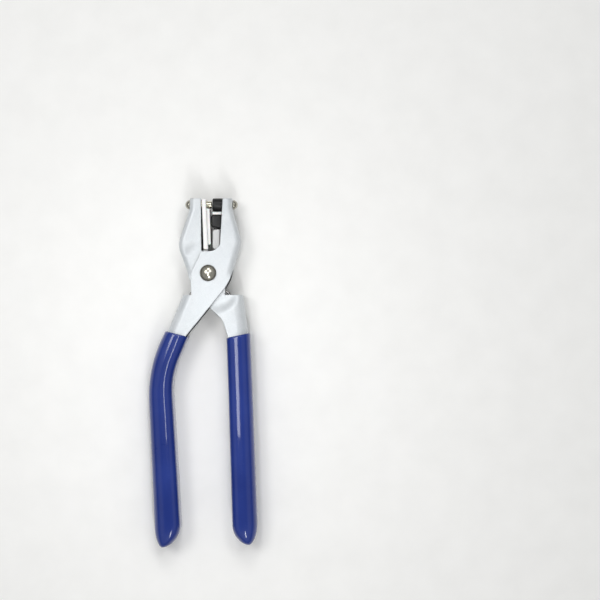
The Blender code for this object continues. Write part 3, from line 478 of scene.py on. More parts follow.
left_jaw_web = [(LEFT_SEAT_X, JAW_TIP_Y, 0), (LEFT_SEAT_X, SEAT_LOW_Y, 9), (-16.9, 15.5, 12),
                (-12.2, WEB_END_Y, 0)]
left_jaw_open = [(-3.9, JAW_TIP_Y, 0), (-3.8, THROAT_Y, 0.8), (0.6, THROAT_Y, 3), (5.5, 9.5, 7),
                 (BOSS_RADIUS, 1.0, 7), (9.2, SHOULDER_Y, 0)]
right_handle_open = [(-8.2, -9.8, 8), (1.6, -19.8, 12), (7.6, -25.2, 9)]
right_handle_open += ended(drawn_in(RIGHT_SLEEVE_INNER, DRAWN_IN))
right_handle_web = [(19.0, SHOULDER_Y, 0)] + ended(drawn_in(RIGHT_SLEEVE_OUTER, -DRAWN_IN))
inner_knots = [(-15.3, 10.4), (-3.85, 12.6), (9.3, 1.0), (-6.5, SHOULDER_Y), (11.2, -36.5), (21.6, -33.6)]
points, faces, marks = lever_body(left_jaw_web, left_jaw_open, right_handle_open, right_handle_web,
                                  inner_knots, pressed_in)
inner_lever = add_piece("inner_lever_sheet", points, faces, paint, marks=marks)

for piece, replaced, body in ((outer_lever, "outer_lever", "outer_half"),
                              (inner_lever, "inner_lever", "inner_half")):
    round_edges(piece, EDGE_ROUND)
    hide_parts(replaced)
    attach(piece, body)


# ---------------------------------------------------------------- pivot
# A nickel-plated steel rivet with a domed head, peened flat over a washer behind. A steel tube
# between the inner lever's cheeks keeps it from squeezing the levers together.

def turned(profile, centre, axis, steps=72):
    """Body turned from (distance along the axis, radius) pairs about an axis through centre."""
    profile = np.array(profile, float)
    along = np.array(axis, float)
    side = np.array((0.0, 1.0, 0.0)) if abs(along[1]) < 0.5 else np.array((1.0, 0.0, 0.0))
    angle = np.linspace(0, 2 * np.pi, steps, endpoint=False)
    circle = np.cos(angle)[:, None] * side + np.sin(angle)[:, None] * np.cross(along, side)
    points = np.array(centre) + along * profile[:, None, :1] + circle * profile[:, None, 1:]
    return points, grid_faces(len(profile), steps, closed_columns=True)


def softened(corners, radius, steps=5, loop=False):
    """A turned profile with each of its inner corners rounded by a radius (one, or one for each)."""
    radii = np.broadcast_to(radius, len(corners))
    if loop:
        middle = (np.array(corners[0]) + np.array(corners[-1])) / 2
        corners, radii = [middle, *corners, middle], [0, *radii, 0]
    line = rounded([(*corner, r) for corner, r in zip(corners, radii)], steps)
    return line


def dome(start, height, radius, edge=0.45, steps=22):
    """Profile of a rivet head: a rolled edge, then a cap of a sphere, r = R sin a, h = R cos a."""
    cap = height - edge
    ball = (radius ** 2 + cap ** 2) / (2 * cap)
    angle = np.arcsin(radius / ball) * np.linspace(1, 0, steps)[1:]
    over = np.column_stack((start + edge + ball * np.cos(angle) - (ball - cap), ball * np.sin(angle)))
    roll = np.linspace(0, np.pi / 2, 6)
    rolled = np.column_stack((start + edge * (1 - np.cos(roll)), radius - 0.15 * (1 - np.sin(roll))))
    return np.concatenate((rolled, over))


nickel, tree, shader, where = material("bright_nickel", 1.0)
smear = noise(tree, where, 420.0, 6.0, Roughness=0.65)
feed(tree, shader,
     Base_Color=ramp(tree, smear, (0.3, (0.36, 0.345, 0.29)), (0.7, (0.52, 0.50, 0.44))),
     Roughness=ramp(tree, smear, (0.35, 0.19), (0.75, 0.30)),
     Normal=raised(tree, noise(tree, where, 1500.0, 2.0), 0.07, 0.0001))

steel, tree, shader, where = material("plain_steel", 1.0)
grain = noise(tree, where, 600.0, 6.0)
feed(tree, shader,
     Base_Color=ramp(tree, grain, (0.3, (0.34, 0.34, 0.345)), (0.7, (0.47, 0.47, 0.47))),
     Roughness=ramp(tree, grain, (0.3, 0.25), (0.7, 0.42)),
     Normal=raised(tree, grain, 0.2, 0.00015))

head_low = MID + HALF + GAP
pivot_high = box_mm("pivot_rivet")[1]
washer_low, washer_high = box_mm("pivot_washer")
spacer_low, spacer_high = box_mm("pivot_spacer")
SHANK_RADIUS, TAIL_RADIUS = 3.0, 4.4
pivot_profile = np.concatenate((
    softened([(0.12, 0), (0.0, 1.6), (0.0, TAIL_RADIUS), (washer_low[2] - GAP, TAIL_RADIUS),
              (washer_low[2] - GAP, SHANK_RADIUS), (head_low, SHANK_RADIUS)], (0, 0.8, 0.35, 0.3, 0.1, 0)),
    dome(head_low, pivot_high[2] - head_low, pivot_high[0])))
washer_profile, spacer_profile = (
    softened([(low[2], SHANK_RADIUS + GAP), (low[2], high[0]), (high[2], high[0]),
              (high[2], SHANK_RADIUS + GAP)], radius, loop=True)
    for low, high, radius in ((washer_low, washer_high, 0.12), (spacer_low, spacer_high, 0.1)))
for name, profile, finish, slot in (("pivot_rivet", pivot_profile, nickel, "bright_nickel"),
                                    ("pivot_washer", washer_profile, steel, "plain_steel"),
                                    ("pivot_spacer", spacer_profile, steel, "plain_steel")):
    piece = add_piece(name + "_turned", *turned(profile, (0, 0, 0), (0, 0, 1)), finish)
    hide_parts(name)
    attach(piece, "outer_half")

# ---------------------------------------------------------------- return spring
# A torsion spring of hard-drawn wire, wound almost three times round the spacer. Its legs run out
# through the notches and down inside the handles, which they push apart.

WIRE = 1.4
LEFT_KNEE, LEFT_END = (-9.9, -10.6), (-14.3, -20.5)
RIGHT_KNEE, RIGHT_END = (10.8, -10.6), (16.3, -20.5)
TURN_POINTS = 64
WHOLE_TURNS = 2                  # besides the part of a turn between the two legs


def carried(line, radius, steps=14):
    """A round wire: a circle of the given radius carried along a line, square to it, ends capped.

    The circle stands in the plane of the level vector square to the line and its cross product.
    """
    along = unit(np.gradient(line, axis=0))
    level = unit(np.cross(along, (0, 0, 1)))
    upright = np.cross(level, along)
    radius = np.broadcast_to(radius, len(line))[:, None, None]
    angle = np.linspace(0, 2 * np.pi, steps, endpoint=False)[None, :, None]
    points = line[:, None] + radius * (np.cos(angle) * level[:, None] + np.sin(angle) * upright[:, None])
    return points, grid_faces(len(line), steps, closed_columns=True)


def tangent_angle(point, radius, side):
    """Angle at which a line from a point touches a circle about the pivot."""
    return np.arctan2(point[1], point[0]) + side * np.arccos(radius / np.hypot(*point))


coil_radius = spacer_high[0] + GAP + WIRE / 2
coil_half = (spacer_high[2] - spacer_low[2] - WIRE) / 2
coil_from = tangent_angle(LEFT_KNEE, coil_radius, 1)
coil_to = tangent_angle(RIGHT_KNEE, coil_radius, -1)
sweep = (coil_to - coil_from) % (2 * np.pi) + 2 * np.pi * WHOLE_TURNS
share = np.linspace(0, 1, 3 * TURN_POINTS)
angle = coil_from + sweep * share
coil = np.column_stack((coil_radius * np.cos(angle), coil_radius * np.sin(angle),
                        MID + coil_half * (2 * share - 1)))
left_leg = dense(rounded([LEFT_END + (0,), LEFT_KNEE + (2.5,), (*coil[0, :2], 0)]), 0.4)[:-1]
right_leg = dense(rounded([(*coil[-1, :2], 0), RIGHT_KNEE + (2.5,), RIGHT_END + (0,)]), 0.4)[1:]
line = np.concatenate((np.column_stack((left_leg, np.full(len(left_leg), MID - coil_half))), coil,
                       np.column_stack((right_leg, np.full(len(right_leg), MID + coil_half)))))
ends = np.array((0, 0.75, 0.97, 1.0)) * WIRE / 2
line = np.concatenate((line[[0]], line[[0]], line[[0]] + (line[1] - line[0]) * 0.15, line,
                       line[[-1]] + (line[-2] - line[-1]) * 0.15, line[[-1]], line[[-1]]))
line[:3] = line[3] + np.outer((-0.32, -0.30, -0.18), unit(line[4] - line[3]))
line[-3:] = line[-4] + np.outer((0.18, 0.30, 0.32), unit(line[-4] - line[-5]))
radius = np.concatenate((ends, np.full(len(line) - 8, WIRE / 2), ends[::-1]))

spring_steel, tree, shader, where = material("spring_steel", 1.0)
draw_marks = noise(tree, where, 900.0, 4.0)
feed(tree, shader,
     Base_Color=ramp(tree, draw_marks, (0.3, (0.16, 0.16, 0.165)), (0.7, (0.30, 0.29, 0.28))),
     Roughness=ramp(tree, draw_marks, (0.3, 0.18), (0.7, 0.34)),
     Normal=raised(tree, draw_marks, 0.25, 0.0001))

spring = add_piece("return_spring_wire", *carried(line, radius), spring_steel)
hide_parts("return_spring")
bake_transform(spring)

# ---------------------------------------------------------------- handle sleeves
# Blue vinyl, dipped over each handle and cured: a rounded rectangle in section with a fuller outer
# side, a soft lip at the mouth, and a rounded slanted tip where the last of the dip ran off.

LEFT_TIP, RIGHT_TIP = (-25.4, box_mm("left_grip")[0][1]), (22.2, box_mm("right_grip")[0][1])
SLEEVE_HALF = (box_mm("left_grip")[1][2] - box_mm("left_grip")[0][2]) / 2
SLEEVE_SIDE = 0.9
OUTER_CORNER, INNER_CORNER = 7.0, 4.5
CROWN = 0.035
LIP_SHARE = 0.003                # the outside starts at this share of the path, past the lip's roll
TIP_DEPTH = 0.42                 # the blunt tip's depth, as a share of the sleeve's
HOLLOW_PAST = 1                  # the hollow goes on this far past the handle's end


def sections(outer, inner, half, outer_radius, inner_radius, crown, steps=9, flats=5):
    """Rounded rectangles between outer and inner points, one for each pair, standing along Z.

    Each is four quarter circles joined by straight sides. The sides are crowned: a point's height is
    cut by crown times the square of its share of the way from the middle.
    """
    across = outer - inner
    width = np.linalg.norm(across, axis=1)[:, None]
    direction = across / width
    half = np.broadcast_to(half, len(outer))[:, None]
    r_out = np.minimum(np.minimum(outer_radius, 0.49 * width), 0.98 * half)
    r_in = np.minimum(np.minimum(inner_radius, 0.49 * width), 0.98 * half)
    quarter = np.linspace(0, np.pi / 2, steps)
    turns = [(0, width - r_out, half - r_out, r_out), (1, r_in, half - r_in, r_in),
             (2, r_in, r_in - half, r_in), (3, width - r_out, r_out - half, r_out)]
    arcs = [np.stack((u + r * np.cos(quarter + k * np.pi / 2), v + r * np.sin(quarter + k * np.pi / 2)),
                     axis=-1) for k, u, v, r in turns]
    between = np.linspace(0, 1, flats + 2)[1:-1, None]
    ring = []
    for arc, following in zip(arcs, arcs[1:] + arcs[:1]):
        ring += [arc, arc[:, -1:] + (following[:, :1] - arc[:, -1:]) * between]
    ring = np.concatenate(ring, axis=1)
    off = (ring[..., 0] / width - 0.5) * 2
    height = ring[..., 1] * (1 - crown * off ** 2)
    plan = inner[:, None] + direction[:, None] * ring[..., :1]
    return np.concatenate((plan, MID + height[..., None]), axis=-1)


def on_path(corners, share):
    """Points of a rounded path at shares of its height, 0 at the top and 1 at its end."""
    line = rounded(corners, 24)
    y = corners[0][1] + (corners[-1][1] - corners[0][1]) * share
    return np.column_stack((np.interp(-y, -line[:, 1], line[:, 0]), y))


def sleeve(outer_path, inner_path, tip):
    """Skin of a dipped sleeve: a blind hollow, a rolled lip, the outside, and a closed tip.

    Down the tip the fall is sin a, the width shrinks by cos^1.1 a and the depth by cos^0.8 a, to the
    blunt tip's depth. The upper part of the body, which is the more curved, has the closer rows.
    """
    body = np.concatenate((np.linspace(LIP_SHARE, 0.42, 70), np.linspace(0.42, 0.97, 42)[1:]))
    outer, inner = on_path(outer_path, body), on_path(inner_path, body)
    outside = sections(outer, inner, SLEEVE_HALF, OUTER_CORNER, INNER_CORNER, CROWN)
    turn = np.linspace(0, np.pi / 2, 26)[1:-1, None]
    fall, spread = np.sin(turn), np.cos(turn) ** 1.1
    tips = [np.column_stack((tip[0] + (end[0] - tip[0]) * spread, end[1] + (tip[1] - end[1]) * fall))
            for end in (outer[-1], inner[-1])]
    depth = SLEEVE_HALF * (TIP_DEPTH + (1 - TIP_DEPTH) * np.cos(turn[:, 0]) ** 0.8)
    ending = sections(*tips, depth, OUTER_CORNER, INNER_CORNER, CROWN)
    pole = np.broadcast_to((*tip, MID), (1, *ending.shape[1:]))
    height = outer_path[-1][1] - outer_path[0][1]
    depth_share = np.linspace((HANDLE_END_Y - HOLLOW_PAST - outer_path[0][1]) / height, LIP_SHARE, 60)
    outer, inner = on_path(outer_path, depth_share), on_path(inner_path, depth_share)
    direction = unit(outer - inner)
    hollow = sections(outer - direction * SLEEVE_SIDE, inner + direction * SLEEVE_SIDE,
                      HALF + GAP, HANDLE_BEND, 0.5, 0.0)
    bottom = np.broadcast_to(hollow[0].mean(0), (1, *hollow.shape[1:]))
    roll = np.linspace(0, np.pi, 9)[1:-1, None, None]
    first, later = on_path(outer_path, np.array((0.0, 0.05)))
    upwards = np.append(unit(first - later), 0)
    thick = np.linalg.norm(outside[0] - hollow[-1], axis=-1)[:, None]
    lip = (hollow[-1] + outside[0]) / 2 + (hollow[-1] - outside[0]) / 2 * np.cos(roll)
    lip = lip + upwards * np.minimum(thick, 1.6) * 0.5 * np.sin(roll)
    rings = np.concatenate((bottom, hollow, lip, outside, ending, pole))
    return rings, grid_faces(*rings.shape[:2], closed_columns=True)


vinyl, tree, shader, where = material("blue_vinyl", Coat_Weight=0.8, Coat_Roughness=0.06,
                                      Specular_IOR_Level=0.15)
depth = noise(tree, where, 38.0, 4.0)
tint = ramp(tree, depth, (0.3, (0.010, 0.026, 0.175)), (0.7, (0.014, 0.036, 0.225)))
dust = node(tree, "TexVoronoi", Vector=where, Scale=420.0, Randomness=1.0).outputs["Distance"]
fleck = product(tree, ramp(tree, dust, (0.0, 1.0), (0.075, 0.0)), 0.22)
stretched = node(tree, "Mapping", Vector=where, Scale=(1.0, 0.3, 1.0)).outputs["Vector"]
runs = raised(tree, noise(tree, stretched, 110.0, 1.0), 0.25, 0.0003)
feed(tree, shader,
     Base_Color=mixed(tree, fleck, tint, (0.20, 0.27, 0.55, 1)),
     Roughness=ramp(tree, depth, (0.3, 0.26), (0.75, 0.38)),
     Normal=raised(tree, noise(tree, where, 1600.0, 2.0), 0.08, 0.0001, Normal=runs))

for name, outer_path, inner_path, tip, body in (
        ("left_grip", LEFT_SLEEVE_OUTER, LEFT_SLEEVE_INNER, LEFT_TIP, "outer_half"),
        ("right_grip", RIGHT_SLEEVE_OUTER, RIGHT_SLEEVE_INNER, RIGHT_TIP, "inner_half")):
    piece = add_piece(name + "_sleeve", *sleeve(outer_path, inner_path, tip), vinyl, smooth_angle=60)
    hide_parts(name)
    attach(piece, body)

# ---------------------------------------------------------------- dies
# A die is riveted into each jaw: on the left a plated post that reaches across the mouth, on the
# right an anvil with a short nose that the rubber adapter is pushed over. Both rivets have domed heads.

DIE_BASE_RADIUS, DIE_BASE_LENGTH, POST_RADIUS = 3.4, 2.7, 2.0
RIVET_SHANK, BORE_DEPTH, NOSE_LENGTH = 1.35, 2.3, 2.6
POST_TIP_X = box_mm("post_die")[1][0]
post_base, anvil_base = box_mm("post_die")[0][0], box_mm("anvil_die")[1][0]
bore = RIVET_SHANK + GAP

post_length = POST_TIP_X - post_base
post_profile = softened([(BORE_DEPTH, 0), (BORE_DEPTH, bore), (0, bore), (0, DIE_BASE_RADIUS),
                         (DIE_BASE_LENGTH, DIE_BASE_RADIUS), (DIE_BASE_LENGTH + 0.1, POST_RADIUS),
                         (post_length, POST_RADIUS), (post_length - 0.25, POST_RADIUS - 1.0),
                         (post_length - 0.25, 0)], (0, 0.1, 0.1, 0.3, 0.35, 0.5, 0.35, 0.2, 0))
nose = DIE_BASE_LENGTH + NOSE_LENGTH
anvil_profile = softened([(BORE_DEPTH, 0), (BORE_DEPTH, bore), (0, bore), (0, DIE_BASE_RADIUS),
                          (DIE_BASE_LENGTH, DIE_BASE_RADIUS), (DIE_BASE_LENGTH, POST_RADIUS),
                          (nose, POST_RADIUS), (nose, 0)], (0, 0.1, 0.1, 0.3, 0.3, 0.2, 0.4, 0))

post_metal, tree, shader, where = material("post_metal", 1.0)
turning = node(tree, "TexWave", {"wave_type": "BANDS", "bands_direction": "X"}, Vector=where, Scale=2400.0,
               Distortion=1.5, Detail=2.0).outputs["Fac"]
feed(tree, shader,
     Base_Color=ramp(tree, turning, (0.2, (0.58, 0.55, 0.43)), (0.8, (0.64, 0.62, 0.50))),
     Roughness=ramp(tree, turning, (0.2, 0.15), (0.8, 0.28)),
     Normal=raised(tree, turning, 0.04, 0.00005))


def die_rivet_profile(seat_x, die_face):
    """Profile of a rivet from its shank's end in the die's bore to its domed head outside the web."""
    shank = abs(seat_x - die_face) + BORE_DEPTH - GAP
    line = softened([(-shank, 0), (-shank, RIVET_SHANK), (GAP, RIVET_SHANK)], (0, 0.25, 0))
    return np.concatenate((line, dome(GAP, HEAD_HEIGHT, HEAD_RADIUS)))


left_rivet = die_rivet_profile(LEFT_SEAT_X, post_base)
right_rivet = die_rivet_profile(RIGHT_SEAT_X, anvil_base)
for name, profile, base_x, outwards, finish, slot, body in (
        ("post_die", post_profile, post_base, 1, post_metal, "post_metal", "inner_half"),
        ("post_die_rivet", left_rivet, LEFT_SEAT_X, -1, nickel, "bright_nickel", "inner_half"),
        ("anvil_die", anvil_profile, anvil_base, -1, steel, "plain_steel", "outer_half"),
        ("anvil_die_rivet", right_rivet, RIGHT_SEAT_X, 1, nickel, "bright_nickel", "outer_half")):
    piece = add_piece(name + "_turned", *turned(profile, (base_x, DIE_Y, MID), (outwards, 0, 0)), finish)
    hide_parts(name)
    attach(piece, body)

# ---------------------------------------------------------------- adapter, band and strap
# A black rubber cup pushed over the anvil's nose, so that the cap of a snap doesn't mark. A flat neck
# joins it to a block that sits in the clip. A white band over the neck is a painted highlight: it
# stands for the bright line of light across the black rubber.

ADAPTER_RADIUS, ADAPTER_CUP = 3.6, 1.0
socket = POST_RADIUS + GAP
adapter_low, adapter_high = box_mm("rubber_adapter")
strap_low, strap_high = box_mm("adapter_strap")
band_low, band_high = box_mm("adapter_band")
clip_low, clip_high = box_mm("strap_clip")
adapter_length = adapter_high[0] - adapter_low[0]
adapter_profile = softened([(NOSE_LENGTH, 0), (NOSE_LENGTH, socket), (0, socket), (0, ADAPTER_RADIUS),
                            (adapter_length, ADAPTER_RADIUS), (adapter_length, socket),
                            (adapter_length - ADAPTER_CUP, socket - 0.4), (adapter_length - ADAPTER_CUP, 0)],
                           (0, 0.1, 0.2, 0.4, 0.55, 0.3, 0.3, 0))

rubber, tree, shader, where = material("black_rubber", Specular_IOR_Level=0.3)
bloom = noise(tree, where, 260.0, 5.0)
feed(tree, shader,
     Base_Color=ramp(tree, bloom, (0.35, (0.007, 0.007, 0.008)), (0.75, (0.020, 0.020, 0.021))),
     Roughness=ramp(tree, bloom, (0.35, 0.30), (0.75, 0.52)),
     Normal=raised(tree, noise(tree, where, 2600.0, 2.0), 0.25, 0.00008))

adapter = add_piece("rubber_adapter_cup", *turned(adapter_profile, (adapter_high[0], DIE_Y, MID), (-1, 0, 0)),
                    rubber)
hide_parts("rubber_adapter")


def quarter(first, last, widening, steps=6):
    """Rows from first to last, round a quarter turn: widths follow sin a and heights 1 - cos a, or the
    other way round where the block narrows. A row is x left, y left, x right, y right, half depth."""
    turn = np.linspace(0, np.pi / 2, steps + 1)[:, None]
    widths, heights = (np.sin(turn), 1 - np.cos(turn))[::1 if widening else -1]
    first, last = np.array(first, float), np.array(last, float)
    return first + (last - first) * np.hstack((widths, heights, widths, heights, widths))


def loft(rows, radius, crown=0.0, ring=False):
    """A block through rounded rectangles, one for each row, with closed ends, or a ring back to its start."""
    rows = np.concatenate([np.atleast_2d(row) for row in rows])
    rings = sections(rows[:, 2:4], rows[:, :2], rows[:, 4], radius, radius, crown, 6, 5)
    if ring:
        return rings, grid_faces(*rings.shape[:2], closed_rows=True, closed_columns=True)
    ends = np.broadcast_to(rings[[0, -1]].mean(axis=1, keepdims=True), (2, *rings.shape[1:]))
    points = np.concatenate((ends[:1], rings, ends[1:]))
    return points, grid_faces(*points.shape[:2], closed_columns=True)


def rolled_end(left, right, y, half, radius, top):
    """Rows of a block's upper or lower end, its edges rolled in; y is one height or left and right ones."""
    y_left, y_right = np.broadcast_to(y, 2)
    inwards = -radius if top else radius
    end = (left + radius, y_left, right - radius, y_right, half - radius)
    full = (left, y_left + inwards, right, y_right + inwards, half)
    return quarter(end, full, True) if top else quarter(full, end, False)


NECK_LEFT, NECK_RIGHT, NECK_HALF_DEPTH = 3.5, 6.0, 1.5
TAIL_LEFT, TAIL_HALF_DEPTH = 2.7, 3.0
STRAP_LENGTH = 7.0
THIN_ROLL, TOP_ROLL, UNDER_ROLL = 0.4, 0.8, 0.6    # of the neck and tail, and the block's two ends
strap_half = (strap_high[2] - strap_low[2]) / 2
top, neck_top = band_low[1] - GAP, strap_high[1]
low_left, low_right = top - STRAP_LENGTH + 0.8, top - STRAP_LENGTH - 0.3      # its underside slants
left, right, tail_right, tail_low = strap_low[0], strap_high[0], clip_low[0] + 3.3, strap_low[1]
strap_rows = [rolled_end(NECK_LEFT, NECK_RIGHT, neck_top, NECK_HALF_DEPTH, THIN_ROLL, top=True),
              (NECK_LEFT, top, NECK_RIGHT, top, NECK_HALF_DEPTH),
              rolled_end(left, right, top, strap_half, TOP_ROLL, top=True),
              rolled_end(left, right, (low_left, low_right), strap_half, UNDER_ROLL, top=False),
              (TAIL_LEFT, low_left - 0.1, tail_right, low_right, TAIL_HALF_DEPTH),
              rolled_end(TAIL_LEFT, tail_right, tail_low, TAIL_HALF_DEPTH, THIN_ROLL, top=False)]
strap = add_piece("adapter_strap_block", *loft(strap_rows, 0.7, 0.05), rubber)
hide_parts("adapter_strap")
for piece in (adapter, strap):
    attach(piece, "outer_half")

nylon, tree, shader, where = material("white_nylon", Subsurface_Weight=0.12, Subsurface_Scale=0.0012)
flow = noise(tree, where, 120.0, 4.0, Distortion=1.5)
feed(tree, shader,
     Base_Color=ramp(tree, flow, (0.3, (0.80, 0.805, 0.80)), (0.7, (0.90, 0.90, 0.89))),
     Roughness=ramp(tree, flow, (0.3, 0.28), (0.7, 0.44)),
     Normal=raised(tree, noise(tree, where, 1300.0, 3.0), 0.15, 0.0001))

# Painted highlight: this white ring stands where a bright line of light crosses the black rubber.
BAND_HALF_DEPTH, BAND_ROLL = 4.0, 0.3
left, right, low, top = band_low[0], band_high[0], band_low[1], band_high[1]
hole_left, hole_right, hole_half = NECK_LEFT - GAP, NECK_RIGHT + GAP, NECK_HALF_DEPTH + GAP
band_rows = [rolled_end(left, right, top, BAND_HALF_DEPTH, BAND_ROLL, top=True),
             rolled_end(left, right, low, BAND_HALF_DEPTH, BAND_ROLL, top=False),
             (hole_left, low, hole_right, low, hole_half), (hole_left, top, hole_right, top, hole_half)]
band = add_piece("adapter_band_highlight_ring", *loft(band_rows, 0.6, ring=True), nylon)
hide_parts("adapter_band")
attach(band, "outer_half")

# ---------------------------------------------------------------- strap clip
# A channel folded from 1 mm plated steel, open to the left, that holds the strap's tail. A foot
# reaches back from its wall to the jaw's web, where it is spot-welded.

CLIP_SHEET, CLIP_BEND, CLIP_CORNER = 1.0, 1.3, 1.4
CLIP_WALL = clip_low[0] + 4.6
BASE_INSET, BASE_LOW, BASE_HIGH, BASE_ROLL = 0.6, 0.1, 2.6, 0.4    # from the clip's left and lower edges
FOOT_Y, FOOT_HEIGHT, FOOT_ROLL = 19.5, 3.0, 0.3
INTO_SIDE, INTO_WALL, INTO_BACK = 0.2, 0.3, 0.4    # how far the base and foot reach into the sheet


def folded_channel(low, high, sheet, bend, corner, rows=44, flats=14, turns=8):
    """Outer and inner skin of a channel along Y, open to -X, its open edges' corners rounded.

    Across, each row runs along the front side, round a quarter circle, along the wall and back. The
    open edge stands in by c - sqrt(c^2 - (c - d)^2) at a distance d from either end, c the corner.
    """
    y = np.linspace(low[1], high[1], rows)
    away = np.clip(corner - np.minimum(y - low[1], high[1] - y), 0, corner)
    edge = low[0] + corner - np.sqrt(corner ** 2 - away ** 2)
    half = (high[2] - low[2]) / 2
    skins = []
    for inset in (0, sheet):
        radius, wall, side = bend - inset, high[0] - inset, half - inset
        turn = np.linspace(0, np.pi / 2, turns)
        along = np.linspace(0, 1, flats)[None, :-1]
        front_x = np.hstack((edge[:, None] + (wall - radius - edge[:, None]) * along,
                             np.tile(wall - radius + radius * np.sin(turn), (rows, 1))))
        round_z = side - radius + radius * np.cos(turn)
        front_z = np.tile(np.append(np.full(flats - 1, side), round_z), (rows, 1))
        x = np.hstack((front_x, np.full((rows, 5), wall), front_x[:, ::-1]))
        z = np.hstack((front_z, np.tile(np.linspace(1, -1, 7)[1:-1] * (side - radius), (rows, 1)),
                       -front_z[:, ::-1]))
        skins.append(np.stack((x, np.tile(y[:, None], (1, x.shape[1])), MID + z), axis=-1))
    return skins


def together(*shells):
    """Points and faces of several closed shells as one mesh."""
    starts = np.cumsum([0] + [len(points.reshape(-1, 3)) for points, faces in shells])
    return (np.concatenate([points.reshape(-1, 3) for points, faces in shells]),
            np.concatenate([faces + start for (points, faces), start in zip(shells, starts)]))


channel = closed_sheet([folded_channel(clip_low, (CLIP_WALL, clip_high[1], clip_high[2]),
                                       CLIP_SHEET, CLIP_BEND, CLIP_CORNER)])[:2]
side = (clip_high[2] - clip_low[2]) / 2 - CLIP_SHEET
inside_wall = CLIP_WALL - CLIP_SHEET
base_left, base_right, base_half = clip_low[0] + BASE_INSET, inside_wall + INTO_WALL, side + INTO_SIDE
base_low, base_high = clip_low[1] + BASE_LOW, clip_low[1] + BASE_HIGH
base_rows = [quarter((base_left + BASE_ROLL, base_low, base_right, base_low, base_half),
                      (base_left, base_low + BASE_ROLL, base_right, base_low + BASE_ROLL, base_half),
                      True),
              (base_left, base_high, base_right, base_high, base_half)]
foot_low, foot_high = FOOT_Y - FOOT_HEIGHT / 2, FOOT_Y + FOOT_HEIGHT / 2
foot_left, foot_half = CLIP_WALL - INTO_BACK, side + CLIP_SHEET
foot_rows = [quarter((foot_left, foot_low, clip_high[0] - FOOT_ROLL, foot_low, foot_half - FOOT_ROLL),
                     (foot_left, foot_low + FOOT_ROLL, clip_high[0], foot_low + FOOT_ROLL, foot_half), True),
             quarter((foot_left, foot_high - FOOT_ROLL, clip_high[0], foot_high - FOOT_ROLL, foot_half),
                     (foot_left, foot_high, clip_high[0] - FOOT_ROLL, foot_high, foot_half - FOOT_ROLL),
                     False)]

plate, tree, shader, where = material("plated_sheet", 0.6)
streaks = node(tree, "Mapping", Vector=where, Scale=(1500.0, 130.0, 1500.0)).outputs["Vector"]
grain = noise(tree, streaks, 1.0, 3.0)
feed(tree, shader,
     Base_Color=ramp(tree, grain, (0.25, (0.42, 0.43, 0.43)), (0.75, (0.54, 0.545, 0.54))),
     Roughness=ramp(tree, grain, (0.3, 0.42), (0.7, 0.58)),
     Normal=raised(tree, grain, 0.12, 0.0001))

clip = add_piece("strap_clip_folded", *together(channel, loft(base_rows, 0.3), loft(foot_rows, 0.4)), plate)
round_edges(clip, 0.14)
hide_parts("strap_clip")
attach(clip, "outer_half")

# ---------------------------------------------------------------- platform
# A white nylon plate that strips the work off the post. It swings on a steel pin across the inner
# lever's cheeks, its tip forked round the post, and a leaf spring pushes it towards the other jaw.

PLATE_THICK, PLATE_ROUND = 2.2, 0.5
BACK_LEAN, TAPER, PAD_LEAN = 1.0, 0.3, 0.6         # along the plate, and along its pad
PAD_HALF, PAD_EDGE = 6.0, 0.35
EYE_RADIUS, EYE_HALF, PIN_RADIUS = 2.7, 3.7, 1.2
EYE_FROM, EYE_TO = 170, 370                        # degrees round the pin that the eye's arc takes
STEM_LEFT, STEM_RIGHT = 0.45, 2.0                  # sides of the stem from the eye up to the plate
LEAF_SHEET = 0.5
EDGE_FREE = 0.2                                    # no row stands closer to an edge that gets rounded
platform_low, platform_high = box_mm("platform")
pin_low, pin_high = box_mm("platform_pin")
leaf_low, leaf_high = box_mm("platform_spring")
pin_centre = (pin_low + pin_high) / 2
plate_half = (platform_high[2] - platform_low[2]) / 2
seat_x = leaf_high[0] + 0.35
plate_top, plate_low_y = platform_high[1], THROAT_Y + 1.0
fork_y, fork_half = DIE_Y - POST_RADIUS - GAP, POST_RADIUS + GAP
pad_low, pad_high = plate_low_y + 2.4, fork_y


def plate_skins(y, z):
    """Face and back of the platform over a grid of heights and depths.

    The back leans over its length. The face stands a thickness away from it and rises to the pad by a
    smooth step, 3 s^2 - 2 s^3, in the distance from the pad's edge. Towards the plate's own edges both
    skins draw in by r - sqrt(r^2 - 0.98 d^2), which rounds them almost to a quarter circle.
    """
    y, z = np.meshgrid(y, z, indexing="ij")
    lean = (plate_top - y) / (plate_top - plate_low_y)
    back = seat_x + BACK_LEAN * lean
    face = back + PLATE_THICK + TAPER * lean
    pad = platform_high[0] - PAD_LEAN * (y - pad_low) / (pad_high - pad_low)
    reach = np.minimum(PAD_HALF - np.abs(z), np.minimum(y - pad_low, pad_high - y))
    step = np.clip(reach / PAD_EDGE, 0, 1)
    face = face + (pad - face) * step ** 2 * (3 - 2 * step)
    away = np.clip(PLATE_ROUND - (plate_half - np.abs(z)), 0, PLATE_ROUND)
    inset = PLATE_ROUND - np.sqrt(PLATE_ROUND ** 2 - away ** 2 * 0.98)
    return [np.stack((x, y, MID + z), axis=-1) for x in (face - inset, back + inset)]


def spaced(*stops, reach=0.45, step=0.6):
    """Values through stops: 6 close ones within reach of each stop and others a step apart between.

    None stays in the free strip beside the first and last stop, where an edge gets rounded.
    """
    pieces = []
    for first, last in zip(stops[:-1], stops[1:]):
        length = last - first
        near = min(reach, 0.4 * length)
        pieces += [np.linspace(first, first + near, 7)[:-1],
                   np.linspace(first + near, last - near, max(3, int(length / step)))[:-1],
                   np.linspace(last - near, last, 7)[:-1]]
    values = np.concatenate(pieces)
    kept = (values > stops[0] + EDGE_FREE) & (values < stops[-1] - EDGE_FREE)
    return np.concatenate((stops[:1], values[kept], stops[-1:]))


